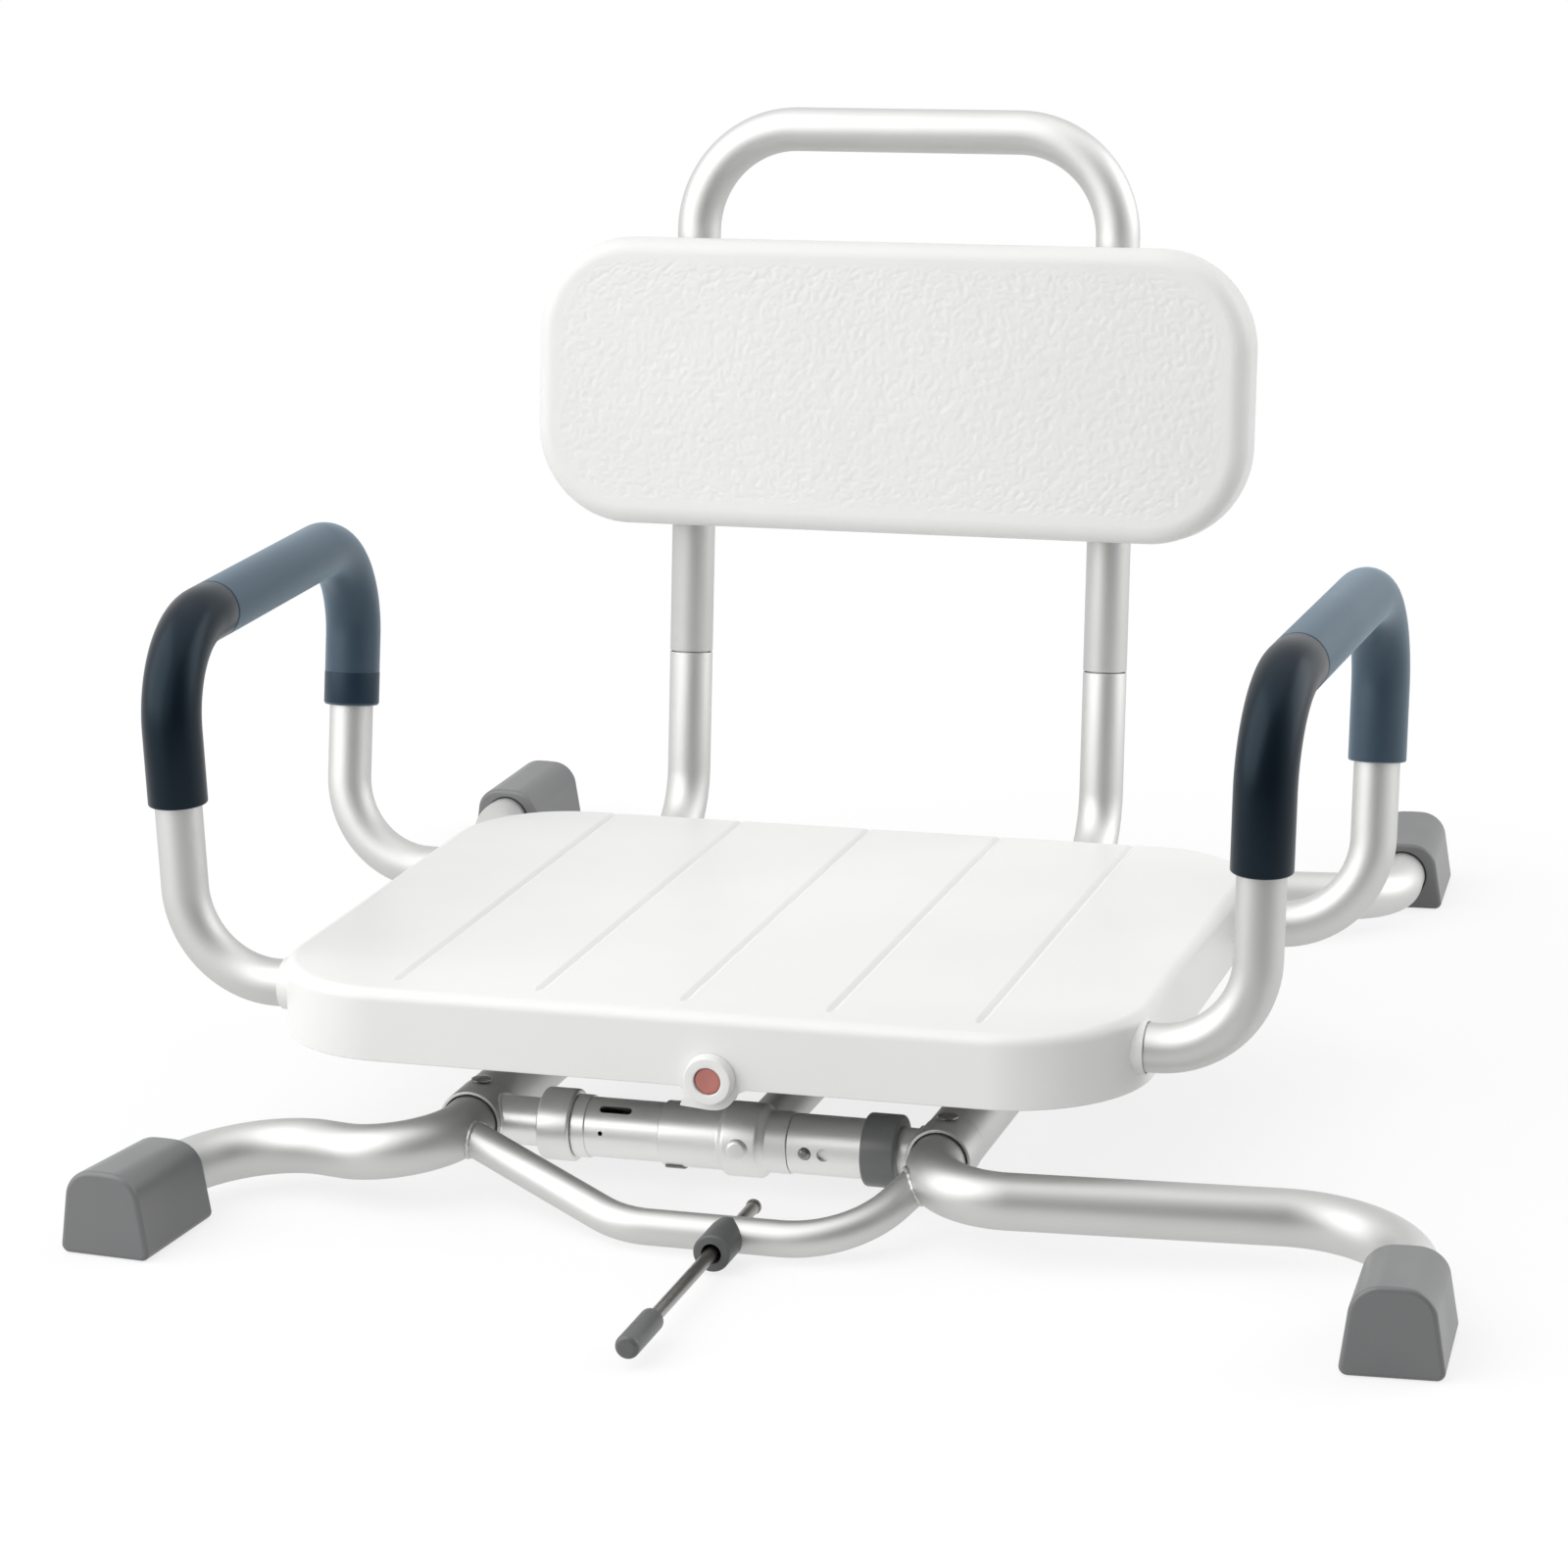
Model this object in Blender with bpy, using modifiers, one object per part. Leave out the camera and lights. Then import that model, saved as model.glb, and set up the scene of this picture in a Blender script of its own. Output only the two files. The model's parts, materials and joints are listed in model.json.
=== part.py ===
"""Swivel bath seat: a moulded seat with arms and a backrest that turns on a base laid across a bath.

Metres, +Z up. The feet stand on z = 0, and the origin lies under the middle of the object's box.
The person faces -Y. Everything is placed from the swivel axis, which stands beside the origin.
The base has two tube frames that slide in two sleeves, so that it fits baths of different widths.
"""
import math

import bmesh
import bpy
from mathutils import Matrix, Vector

# Clearances
SEAT_GAP = 0.0003          # between pieces that touch
SLIDE_GAP = 0.0005         # round a tube that slides or plugs in
SCREW_GAP = 0.0003         # round a screw in its hole

# Seat moulding, from the swivel axis
SEAT_WIDTH = 0.410
SEAT_DEPTH = 0.325
SEAT_FRONT = 0.195         # front edge ahead of the axis
SEAT_TOP_Z = 0.1035
SKIRT_HEIGHT = 0.0340
SKIN = 0.0036              # wall of the moulding
FRONT_CORNER = 0.062
REAR_CORNER = 0.055
TOP_EDGE = 0.009
SLAT_PITCH = 0.0683
SLAT_COUNT = 6
GROOVE_WIDTH = 0.0036
GROOVE_DEPTH = 0.0014
GROOVE_START = 0.0163      # bare edge ahead of the grooves
RIB_HEIGHT = 0.012
RIB_WALL = 0.003

# Arms
ARM_TUBE = 0.0111          # radius of the arm and backrest tubes
ARM_WALL = 0.0015
ARM_Z = {"front": 0.0875, "rear": 0.0825}    # middle of the tube where it enters the skirt
ARM_Y = {"front": -0.1455, "rear": 0.075}
ARM_TOP_Z = 0.2507
ARM_TOP_REAR_Y = 0.105     # the rear upright leans back to here
ARM_OUT = 0.253            # front upright from the axis, where it leaves the skirt
ARM_LEAN = 0.005           # the front upright leans out by this much at its top
ARM_SPLAY = 0.0124         # the rear upright stands this much further out
ARM_BEND = 0.045
ARM_END_X = 0.131          # inner end of the arm in its socket
SOCKET_END_X = 0.186       # outer end of the socket, inside the skirt
GRIP_WALL = 0.0026
GRIP_LOW_Z = {"front": 0.171, "rear": 0.163}
GRIP_SEAM_Y = -0.088       # dark and light halves of the grip meet here

# Backrest
BACK_HALF = 0.1105         # posts from the middle
POST_Z = 0.0850            # middle of a post where it enters the skirt
BACK_LEAN = math.atan(0.1364)
POST_SEAM_Z = 0.1786
POST_SEAM_Y = 0.1794
POST_BEND = 0.039
POST_END_Y = 0.055
SPIGOT = 0.0090
SPIGOT_UP = 0.045
SPIGOT_DOWN = 0.012
HOOP_HEIGHT = 0.2708       # seam to top bar, along the lean
HOOP_BEND = 0.052
PANEL_WIDTH = 0.372
PANEL_HEIGHT = 0.1465
PANEL_THICK = 0.025
PANEL_CORNER = 0.050
PANEL_EDGE = 0.006
PANEL_MIDDLE = 0.1410      # up from the seam, along the lean
PANEL_SCREW_RISE = 0.040
SOCKET_WALL = 0.0026

# Swivel
BASE_PLATE = 0.003
INDEX_PLATE = 0.0025
INDEX_RADIUS = 0.092
CATCH_RADIUS = 0.080
GLIDE_INNER = 0.028
GLIDE_OUTER = 0.046
GLIDE_THICK = 0.003
TURN_PLATE = 0.0025
TURN_RADIUS = 0.068
SPINDLE = 0.006
SPINDLE_HEX = 0.0095
SPINDLE_HEAD = 0.0070
SPINDLE_NUT = 0.0080
SPINDLE_WASHER = 0.0015
STAKE_X = 0.042            # moulded stakes that hold the turning plate
STAKE = 0.0022
STAKE_HEAD = 0.0016
PANEL_SCREW = 0.0019
CATCH_SCREW = 0.0019
CATCH_SCREW_Y = -0.034

# Release button and catch
BUTTON_X = 0.0185
BUTTON_Z = 0.0743
BUTTON_RADIUS = 0.006
BUTTON_SUNK = 0.0010
BUTTON_LENGTH = 0.0100
HOUSING_RADIUS = 0.01175
HOUSING_FLANGE = 0.0055
HOUSING_NECK = 0.0085
HOUSING_LENGTH = 0.0175
TAB_DEPTH = 0.0147
TAB_LUG = 0.0150
TAB_WAIST = 0.0125
TAB_REACH = 0.0159
ROD_RADIUS = 0.003
SPRING_WIRE = 0.0005
SPRING_RADIUS = 0.0048
SPRING_TURNS = 6
SPRING_LENGTH = 0.0170
GUIDE_Y = -0.150           # bracket that guides the rod
GUIDE_WALL = 0.0030
GUIDE_WIDTH = 0.0140
WEDGE_LENGTH = 0.014
WEDGE_CLEAR = 0.0008
LEAF_Z = 0.0790
LEAF_THICK = 0.0012
LEAF_WIDTH = 0.014
LEAF_REAR_Y = -0.022
LEAF_TIP = 0.018           # length of the leaf past its nose

# Base
SLEEVE_HALF_GAP = 0.112    # sleeves from the axis
SLEEVE_Z = 0.030
MOUTH_Y = 0.156            # sleeve mouths from the axis
LEG_TUBE = 0.0127
LEG_WALL = 0.0016
SLEEVE_WALL = 0.0014
BUSH_LENGTH = 0.0225
BUSH_PROUD = 0.0004
SLEEVE_GROOVE = 0.0004
CROSS_Y = 0.143            # cross tubes from the axis
CROSS_Z = 0.0285
CROSS_TUBE = 0.0138
CROSS_WALL = 0.0015
PLATE_HALF_Y = 0.118
PLATE_FLANGE = 0.010

# Leg frames, from the axis
LEG_TURN_Y = {"front": {"short": 0.214, "long": 0.203}, "rear": {"short": 0.298, "long": 0.298}}
FOOT_TURN_Y = {"front": {"short": 0.163, "long": 0.151}, "rear": {"short": 0.354, "long": 0.354}}
LEG_BEND = 0.034
FOOT_BEND = {"short": 0.043, "long": 0.052}
FOOT_TUBE_Z = {"front": 0.0175, "rear": 0.019}
FRONT_REACH = {"short": 0.232, "long": 0.334}
REAR_REACH = {"short": 0.2275, "long": 0.300}
FOOT_TOE = {"front": 0.009, "rear": -0.007}      # feet point outwards by this much at their tips
LEG_INSERT = {"front": 0.118, "rear": 0.090}     # leg tube inside its sleeve
FOOT_LENGTH = 0.062
FOOT_WIDTH = 0.045
FOOT_HEIGHT = 0.040
FOOT_HEIGHT_INNER = 0.0365
FOOT_CROWN = 0.0160        # radius over the top of a foot
FOOT_FACE_Y = {"front": 0.288, "rear": 0.461}    # outer face of a foot
FOOT_COVER = 0.046         # tube inside the foot
FRONT_TRAVEL = 0.055
REAR_TRAVEL_IN = 0.080
REAR_TRAVEL_OUT = 0.028
GUIDE_SCREW_Y = 0.139
GUIDE_SCREW = 0.0027
GUIDE_HEAD = 0.0050
SLOT_SPARE = 0.0006        # slot past the screw at each end of the travel

# Spreader bar and its stop rod
BAR_TUBE = 0.0082
BAR_WALL = 0.0014
BAR_Y = {"front": 0.2165, "rear": 0.2875}
BAR_END_Y = {"front": 0.168, "rear": 0.250}      # where the bar meets the legs
BAR_Z = 0.0100
BAR_CORNERS = (-0.0180, 0.0880)
BAR_BEND = 0.050
STOP_X = 0.0325
STOP_ROD = 0.0030
STOP_GAP = 0.0005
STOP_COLLAR = 0.0085
STOP_COLLAR_BORE = 0.0046
STOP_COLLAR_OUT = 0.0260   # outer end of the collar, from the middle of the bar
STOP_HEAD = 0.0036
STOP_TIP_Y = {"front": 0.357, "rear": 0.418}     # rubber tip of the rod
STOP_LENGTH = 0.178        # rod and tip together
STOP_CAP = 0.0054
STOP_CAP_LENGTH = 0.034
STOP_CAP_COVER = 0.012

# Cross tube fittings, from the axis
COLLAR_RADIUS = 0.0168
COLLAR_SHELF = 0.0078      # part of a collar that lies over the thick tube
LEFT_COLLAR = (-0.0787, -0.0629)
LEFT_RING_END = -0.0562
RIGHT_COLLAR = (0.0758, 0.0920)
TEE_LEFT = -0.0202
TEE_BULGE = (0.0085, 0.0300)
TEE_RIGHT = 0.0407
TEE_RADIUS = 0.0150
TEE_BULGE_RADIUS = 0.0172
TEE_NECK_RADIUS = 0.0143
STUB_TUBE = 0.0113
PLUG_TUBE = 0.0106         # ends of the cross tubes inside the tee
PLUG_LENGTH = 0.014
TEE_CAP_X = 0.0185
TEE_CAP_RADIUS = 0.00425
TEE_CAP_PROUD = 0.0012
SNAP_X = 0.0495
SNAP_HOLE_X = 0.0582
SNAP_RADIUS = 0.0027
SNAP_FLANGE = 0.0040
SNAP_PROUD = 0.0014
SNAP_TRAVEL = 0.0022
TUBE_SLOT = (-0.0500, -0.0344)
RAIL_X = 0.0215
RAIL_TUBE = 0.0105
REAR_CROSS_TUBE = 0.0125

# Resolution of round shapes
TUBE_SIDES = 12
LEG_SIDES = 14
BAR_SIDES = 12
BEND_STEPS = 4
ROUND_STEPS = 16
SCREW_SIDES = 8

# Places worked out from the sizes above
SLEEVE_BORE = LEG_TUBE + SLIDE_GAP
SLEEVE_RADIUS = SLEEVE_BORE + SLEEVE_WALL
BUSH_RADIUS = SLEEVE_RADIUS + BUSH_PROUD
SKIRT_Z = SEAT_TOP_Z - SKIRT_HEIGHT
DECK_Z = SEAT_TOP_Z - SKIN
SEAT_REAR = SEAT_DEPTH - SEAT_FRONT
PLATE_Z = SLEEVE_Z + SLEEVE_RADIUS + SEAT_GAP
INDEX_Z = PLATE_Z + BASE_PLATE + SEAT_GAP
GLIDE_Z = INDEX_Z + INDEX_PLATE + SEAT_GAP
TURN_Z = GLIDE_Z + GLIDE_THICK + SEAT_GAP
BOSS_Z = TURN_Z + TURN_PLATE + SEAT_GAP
SOCKET_BORE = ARM_TUBE + SLIDE_GAP
SOCKET_RADIUS = SOCKET_BORE + SOCKET_WALL
NOSE_Y = -math.sqrt(CATCH_RADIUS ** 2 - BUTTON_X ** 2)
TOE_ANGLE = {
    end: math.atan2(toe, FOOT_FACE_Y[end] - FOOT_TURN_Y[end]["long"]) for end, toe in FOOT_TOE.items()
}
FRONT_SPAN = FRONT_REACH["long"] + FOOT_TOE["front"] / 2
REAR_SPAN = REAR_REACH["long"] + FOOT_TOE["rear"] / 2 - FOOT_LENGTH * math.sin(TOE_ANGLE["rear"])
HALF_FOOT = {end: FOOT_WIDTH / 2 * math.cos(angle) for end, angle in TOE_ANGLE.items()}
AXIS_X = (REAR_SPAN + HALF_FOOT["rear"] - FRONT_SPAN - HALF_FOOT["front"]) / 2
AXIS_Y = (STOP_TIP_Y["front"] - FOOT_FACE_Y["rear"]) / 2


def clear_scene():
    """Removes every object that the file opened with."""
    for obj in list(bpy.data.objects):
        bpy.data.objects.remove(obj)


def new_collection(name):
    """A collection linked to the scene."""
    collection = bpy.data.collections.new(name)
    bpy.context.scene.collection.children.link(collection)
    return collection


def new_material(name, colour, roughness, metallic=0.0):
    """A Principled material of one colour."""
    material = bpy.data.materials.new(name)
    material.use_nodes = True
    shader = material.node_tree.nodes["Principled BSDF"]
    shader.inputs["Base Color"].default_value = (*colour, 1.0)
    shader.inputs["Roughness"].default_value = roughness
    shader.inputs["Metallic"].default_value = metallic
    return material


clear_scene()
PARTS = new_collection("swivel_bath_seat")
CUTTERS = new_collection("cutters")

WHITE = (0.86, 0.86, 0.85)
GREY = (0.22, 0.23, 0.24)
NAVY = (0.012, 0.022, 0.038)
STEEL_BLUE = (0.07, 0.115, 0.165)


def new_empty(name, location, parent=None, lean=0.0):
    """An empty that carries a group of pieces, with its origin on the group's axis."""
    empty = bpy.data.objects.new(name, None)
    empty.location = location
    empty.rotation_euler = (-lean, 0.0, 0.0)
    empty.parent = parent
    PARTS.objects.link(empty)
    return empty


BASE = new_empty("base_axis", (AXIS_X, AXIS_Y, 0.0))
FRONT = new_empty("front_frame_axis", (0.0, 0.0, 0.0), BASE)
REAR = new_empty("rear_frame_axis", (0.0, 0.0, 0.0), BASE)
SEAT = new_empty("seat_axis", (0.0, 0.0, 0.0), BASE)
BACK = new_empty("back_axis", (0.0, POST_SEAM_Y, POST_SEAM_Z), SEAT, BACK_LEAN)
BUTTON = new_empty("button_axis", (BUTTON_X, 0.0, BUTTON_Z), SEAT)


def add_part(name, mesh, material, parent, smooth=35.0):
    """A sub-part in the object's collection, shaded smooth below the given angle."""
    obj = bpy.data.objects.new(name, mesh)
    obj.parent = parent
    mesh.materials.clear()
    mesh.materials.append(material)
    PARTS.objects.link(obj)
    if smooth:
        mesh.shade_smooth()
        mesh.set_sharp_from_angle(angle=math.radians(smooth))
    return obj


def add_cutter(name, mesh, parent):
    """A shape that only cuts or joins, kept out of the model."""
    obj = bpy.data.objects.new(name, mesh)
    obj.parent = parent
    obj.hide_render = True
    obj.display_type = "WIRE"
    CUTTERS.objects.link(obj)
    return obj


def cut(obj, cutter, operation="DIFFERENCE"):
    """Cuts a piece with a cutter, or joins the cutter to it."""
    modifier = obj.modifiers.new(cutter.name, "BOOLEAN")
    modifier.operation = operation
    modifier.solver = "EXACT"
    modifier.object = cutter


def join(obj, other):
    """Joins a hidden shape to a piece, so that both are one body."""
    cut(obj, other, "UNION")


def mesh_from(name, bm):
    """Writes a bmesh to a new mesh with its faces pointing out."""
    bmesh.ops.recalc_face_normals(bm, faces=bm.faces)
    mesh = bpy.data.meshes.new(name)
    bm.to_mesh(mesh)
    bm.free()
    return mesh


def box_mesh(name, low, high):
    """A box between two corners."""
    bm = bmesh.new()
    bmesh.ops.create_cube(bm, size=1.0)
    size = [b - a for a, b in zip(low, high)]
    middle = [(a + b) / 2 for a, b in zip(low, high)]
    bmesh.ops.scale(bm, vec=size, verts=bm.verts)
    bmesh.ops.translate(bm, vec=middle, verts=bm.verts)
    return mesh_from(name, bm)


AXIS_TURNS = {
    "x": Matrix.Rotation(math.pi / 2, 4, "Y"),
    "y": Matrix.Rotation(-math.pi / 2, 4, "X"),
    "z": Matrix.Identity(4),
}


def rod_mesh(name, radius, start, length, axis="z", sides=ROUND_STEPS, end_radius=None):
    """A cylinder or cone that starts at a point and runs along +X, +Y or +Z."""
    bm = bmesh.new()
    tip = radius if end_radius is None else end_radius
    bmesh.ops.create_cone(bm, cap_ends=True, segments=sides, radius1=radius, radius2=tip, depth=length)
    bmesh.ops.translate(bm, vec=(0.0, 0.0, length / 2), verts=bm.verts)
    bmesh.ops.transform(bm, matrix=AXIS_TURNS[axis], verts=bm.verts)
    bmesh.ops.translate(bm, vec=start, verts=bm.verts)
    return mesh_from(name, bm)


def prism_mesh(name, outline, low, high, axis="z", edge=0.0, edge_side="high"):
    """A flat outline drawn out along an axis, with one rim rounded if an edge radius is given.

    The outline is in X and Y for the z axis, in X and Z for y, and in Y and Z for x.
    """
    bm = bmesh.new()
    verts = [bm.verts.new((u, v, low)) for u, v in outline]
    face = bm.faces.new(verts)
    drawn = bmesh.ops.extrude_face_region(bm, geom=[face])
    moved = [item for item in drawn["geom"] if isinstance(item, bmesh.types.BMVert)]
    bmesh.ops.translate(bm, vec=(0.0, 0.0, high - low), verts=moved)
    if edge:
        level = high if edge_side == "high" else low
        rim = [e for e in bm.edges if all(abs(v.co.z - level) < 1e-7 for v in e.verts)]
        bmesh.ops.bevel(bm, geom=rim, offset=edge, segments=3, profile=0.5, affect="EDGES")
    if axis == "y":
        for vert in bm.verts:
            vert.co = Vector((vert.co.x, vert.co.z, vert.co.y))
    elif axis == "x":
        for vert in bm.verts:
            vert.co = Vector((vert.co.z, vert.co.x, vert.co.y))
    return mesh_from(name, bm)


def arc(centre, radius, start, end, steps):
    """Points of an arc from one angle to another, in degrees."""
    points = []
    for step in range(steps + 1):
        angle = math.radians(start + (end - start) * step / steps)
        points.append((centre[0] + radius * math.cos(angle), centre[1] + radius * math.sin(angle)))
    return points


def rounded_outline(half, low, high, low_radius, high_radius, steps=6):
    """A rectangle with round corners, from low to high in its second direction."""
    return (
        arc((half - high_radius, high - high_radius), high_radius, 0, 90, steps)
        + arc((-half + high_radius, high - high_radius), high_radius, 90, 180, steps)
        + arc((-half + low_radius, low + low_radius), low_radius, 180, 270, steps)
        + arc((half - low_radius, low + low_radius), low_radius, 270, 360, steps)
    )


def lathe_mesh(name, profile, location=(0.0, 0.0, 0.0), axis="z", steps=ROUND_STEPS):
    """A turned shape from (radius, height) points, with its axis along +X, +Y or +Z.

    A profile that starts and ends on the axis makes a solid. One that stays off it closes to a ring.
    """
    bm = bmesh.new()
    rings = []
    for radius, height in profile:
        count = steps if radius > 0.0 else 1
        rings.append([
            bm.verts.new((radius * math.cos(turn), radius * math.sin(turn), height))
            for turn in (math.tau * index / steps for index in range(count))
        ])
    pairs = list(zip(rings, rings[1:]))
    if profile[0][0] > 0.0:
        pairs.append((rings[-1], rings[0]))
    for first, second in pairs:
        for index in range(steps):
            after = (index + 1) % steps
            corners = [first[index % len(first)], first[after % len(first)]]
            corners += [second[after % len(second)], second[index % len(second)]]
            bm.faces.new(list(dict.fromkeys(corners)))
    bmesh.ops.transform(bm, matrix=AXIS_TURNS[axis], verts=bm.verts)
    bmesh.ops.translate(bm, vec=location, verts=bm.verts)
    return mesh_from(name, bm)


def ring_mesh(name, outer, bore, start, length, axis="z", steps=ROUND_STEPS):
    """A plain hollow cylinder that starts at a point."""
    profile = [(bore, 0.0), (outer, 0.0), (outer, length), (bore, length)]
    return lathe_mesh(name, profile, start, axis, steps)


def rounded_route(corners, radii, steps=BEND_STEPS):
    """The points of a bent tube: straight runs between corners, with an arc in place of each corner."""
    points = [Vector(corners[0])]
    for before, corner, after, radius in zip(corners, corners[1:], corners[2:], radii):
        back = (Vector(before) - Vector(corner)).normalized()
        on = (Vector(after) - Vector(corner)).normalized()
        half_turn = (math.pi - back.angle(on)) / 2
        reach = radius * math.tan(half_turn)
        middle = Vector(corner) + (back + on).normalized() * (radius / math.cos(half_turn))
        first = (Vector(corner) + back * reach - middle).normalized()
        last = (Vector(corner) + on * reach - middle).normalized()
        for step in range(steps + 1):
            points.append(middle + first.slerp(last, step / steps) * radius)
    points.append(Vector(corners[-1]))
    return points


def route_mesh(name, points, radius, sides, closed_ends):
    """The skin of a round tube along a route, open at its ends or closed with welded caps."""
    curve = bpy.data.curves.new(name, "CURVE")
    curve.dimensions = "3D"
    curve.bevel_depth = radius
    curve.bevel_resolution = sides // 2 - 2
    curve.use_fill_caps = closed_ends
    spline = curve.splines.new("POLY")
    spline.points.add(len(points) - 1)
    for index, point in enumerate(points):
        spline.points[index].co = (*point, 1.0)
    holder = bpy.data.objects.new(name, curve)
    PARTS.objects.link(holder)
    bpy.context.view_layer.update()
    shape = holder.evaluated_get(bpy.context.evaluated_depsgraph_get())
    mesh = bpy.data.meshes.new_from_object(shape)
    bpy.data.objects.remove(holder)
    bpy.data.curves.remove(curve)
    bm = bmesh.new()
    bm.from_mesh(mesh)
    bmesh.ops.remove_doubles(bm, verts=bm.verts, dist=0.00001)
    bm.to_mesh(mesh)
    bm.free()
    return mesh


def tube(name, points, radius, wall, sides, material, parent):
    """A hollow tube with open ends along a route."""
    obj = add_part(name, route_mesh(name, points, radius, sides, False), material, parent)
    shell = obj.modifiers.new("wall", "SOLIDIFY")
    shell.thickness = wall
    shell.offset = -1.0
    return obj


def solid_route(name, points, radius, sides, parent):
    """A solid bar along a route, for cutting."""
    return add_cutter(name, route_mesh(name, points, radius, sides, True), parent)


def group_mesh(name, meshes):
    """Several separate solids in one mesh, such as a set of screws."""
    bm = bmesh.new()
    for mesh in meshes:
        bm.from_mesh(mesh)
        bpy.data.meshes.remove(mesh)
    return mesh_from(name, bm)


def seat_outline(inset=0.0):
    """The seat's plan outline, drawn in by an inset."""
    return rounded_outline(
        SEAT_WIDTH / 2 - inset, -SEAT_FRONT + inset, SEAT_REAR - inset,
        FRONT_CORNER - inset, REAR_CORNER - inset,
    )


def cut_grooves(shell):
    """The grooves between the slats, run out through the rear edge."""
    half = GROOVE_WIDTH / 2
    low = SEAT_TOP_Z - GROOVE_DEPTH
    high = SEAT_TOP_Z + GROOVE_DEPTH
    for index in range(1, SLAT_COUNT):
        x = (index - SLAT_COUNT / 2) * SLAT_PITCH
        outline = [
            (x - half / 3, low), (x + half / 3, low), (x + half * 5 / 3, high), (x - half * 5 / 3, high),
        ]
        mesh = prism_mesh(f"groove_{index}", outline, GROOVE_START - SEAT_FRONT, SEAT_REAR + GROOVE_WIDTH, "y")
        cut(shell, add_cutter(f"groove_{index}", mesh, SEAT))


def add_ribs(shell):
    """Stiffening ribs under the deck, the staked bosses, the catch block and the rod guide."""
    low = DECK_Z - RIB_HEIGHT
    high = DECK_Z + SKIN / 6
    front = -SEAT_FRONT + SKIN * 0.85
    rear = SEAT_REAR - SKIN * 0.85
    for index in range(1, SLAT_COUNT):
        x = (index - SLAT_COUNT / 2) * SLAT_PITCH
        mesh = box_mesh(f"rib_{index}", (x - RIB_WALL / 2, front, low), (x + RIB_WALL / 2, rear, high))
        join(shell, add_cutter(f"rib_{index}", mesh, SEAT))
    stake_z = TURN_Z - SEAT_GAP
    for index, (x, y) in enumerate(stake_places()):
        profile = [
            (0.0, high), (STAKE * 2.8, high), (STAKE * 2.8, BOSS_Z), (STAKE, BOSS_Z), (STAKE, stake_z),
            (STAKE * 1.7, stake_z), (STAKE * 1.3, stake_z - STAKE_HEAD), (0.0, stake_z - STAKE_HEAD),
        ]
        mesh = lathe_mesh(f"boss_{index}", profile, (x, y, 0.0), steps=12)
        join(shell, add_cutter(f"boss_{index}", mesh, SEAT))
    block = box_mesh(
        "catch_block",
        (BUTTON_X - LEAF_WIDTH / 2, LEAF_REAR_Y - 0.024, LEAF_Z + LEAF_THICK + SEAT_GAP),
        (BUTTON_X + LEAF_WIDTH / 2, LEAF_REAR_Y + 0.002, high),
    )
    join(shell, add_cutter("catch_block", block, SEAT))
    guide = box_mesh(
        "rod_guide",
        (BUTTON_X - GUIDE_WIDTH / 2, GUIDE_Y - GUIDE_WALL / 2, SKIRT_Z + 0.0005),
        (BUTTON_X + GUIDE_WIDTH / 2, GUIDE_Y + GUIDE_WALL / 2, high),
    )
    join(shell, add_cutter("rod_guide", guide, SEAT))


def add_housing_tab(shell):
    """The tab of the skirt below the button housing: square at one end and rounded at the other."""
    low = SKIRT_Z - BUTTON_Z
    round_x = TAB_REACH * 0.29
    points = [
        (-TAB_WAIST - 0.002, low + 0.003), (-TAB_WAIST - 0.002, low), (-TAB_WAIST, low - 0.0042),
        (-TAB_LUG, 0.0009 - TAB_DEPTH), (-round_x, -TAB_DEPTH), (round_x, -TAB_DEPTH),
        (TAB_REACH * 0.48, -TAB_DEPTH * 0.94), (TAB_REACH * 0.66, -TAB_DEPTH * 0.75),
        (TAB_REACH, low), (TAB_REACH, low + 0.003),
    ]
    outline = [(BUTTON_X + x, BUTTON_Z + z) for x, z in points]
    front = -SEAT_FRONT + 0.0002
    mesh = prism_mesh("housing_tab", outline, front, front + SKIN * 0.85, "y")
    join(shell, add_cutter("housing_tab", mesh, SEAT))


def socket_outline(middle, level):
    """A tube socket seen from its end: round below and straight up to the deck."""
    lower = arc((middle, level), SOCKET_RADIUS, 180, 360, 10)
    top = DECK_Z + SKIN / 6
    return lower + [(middle + SOCKET_RADIUS, top), (middle - SOCKET_RADIUS, top)]


def add_sockets(shell):
    """The moulded sockets under the deck that take the arm ends and the backrest posts."""
    start_x = ARM_END_X - 0.0045
    start_y = POST_END_Y - 0.0045
    for side in (-1, 1):
        ends = sorted((side * start_x, side * SOCKET_END_X))
        for name, y in ARM_Y.items():
            mesh = prism_mesh(f"arm_socket_{name}_{side}", socket_outline(y, ARM_Z[name]), *ends, "x")
            join(shell, add_cutter(f"arm_socket_{name}_{side}", mesh, SEAT))
        outline = socket_outline(side * BACK_HALF, POST_Z)
        mesh = prism_mesh(f"post_socket_{side}", outline, start_y, SEAT_REAR - SKIN * 0.85, "y")
        join(shell, add_cutter(f"post_socket_{side}", mesh, SEAT))


def stake_places():
    """The four moulded stakes that hold the turning plate to the seat."""
    return [(sx * STAKE_X, sy * STAKE_X) for sx in (-1, 1) for sy in (-1, 1)]


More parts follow.
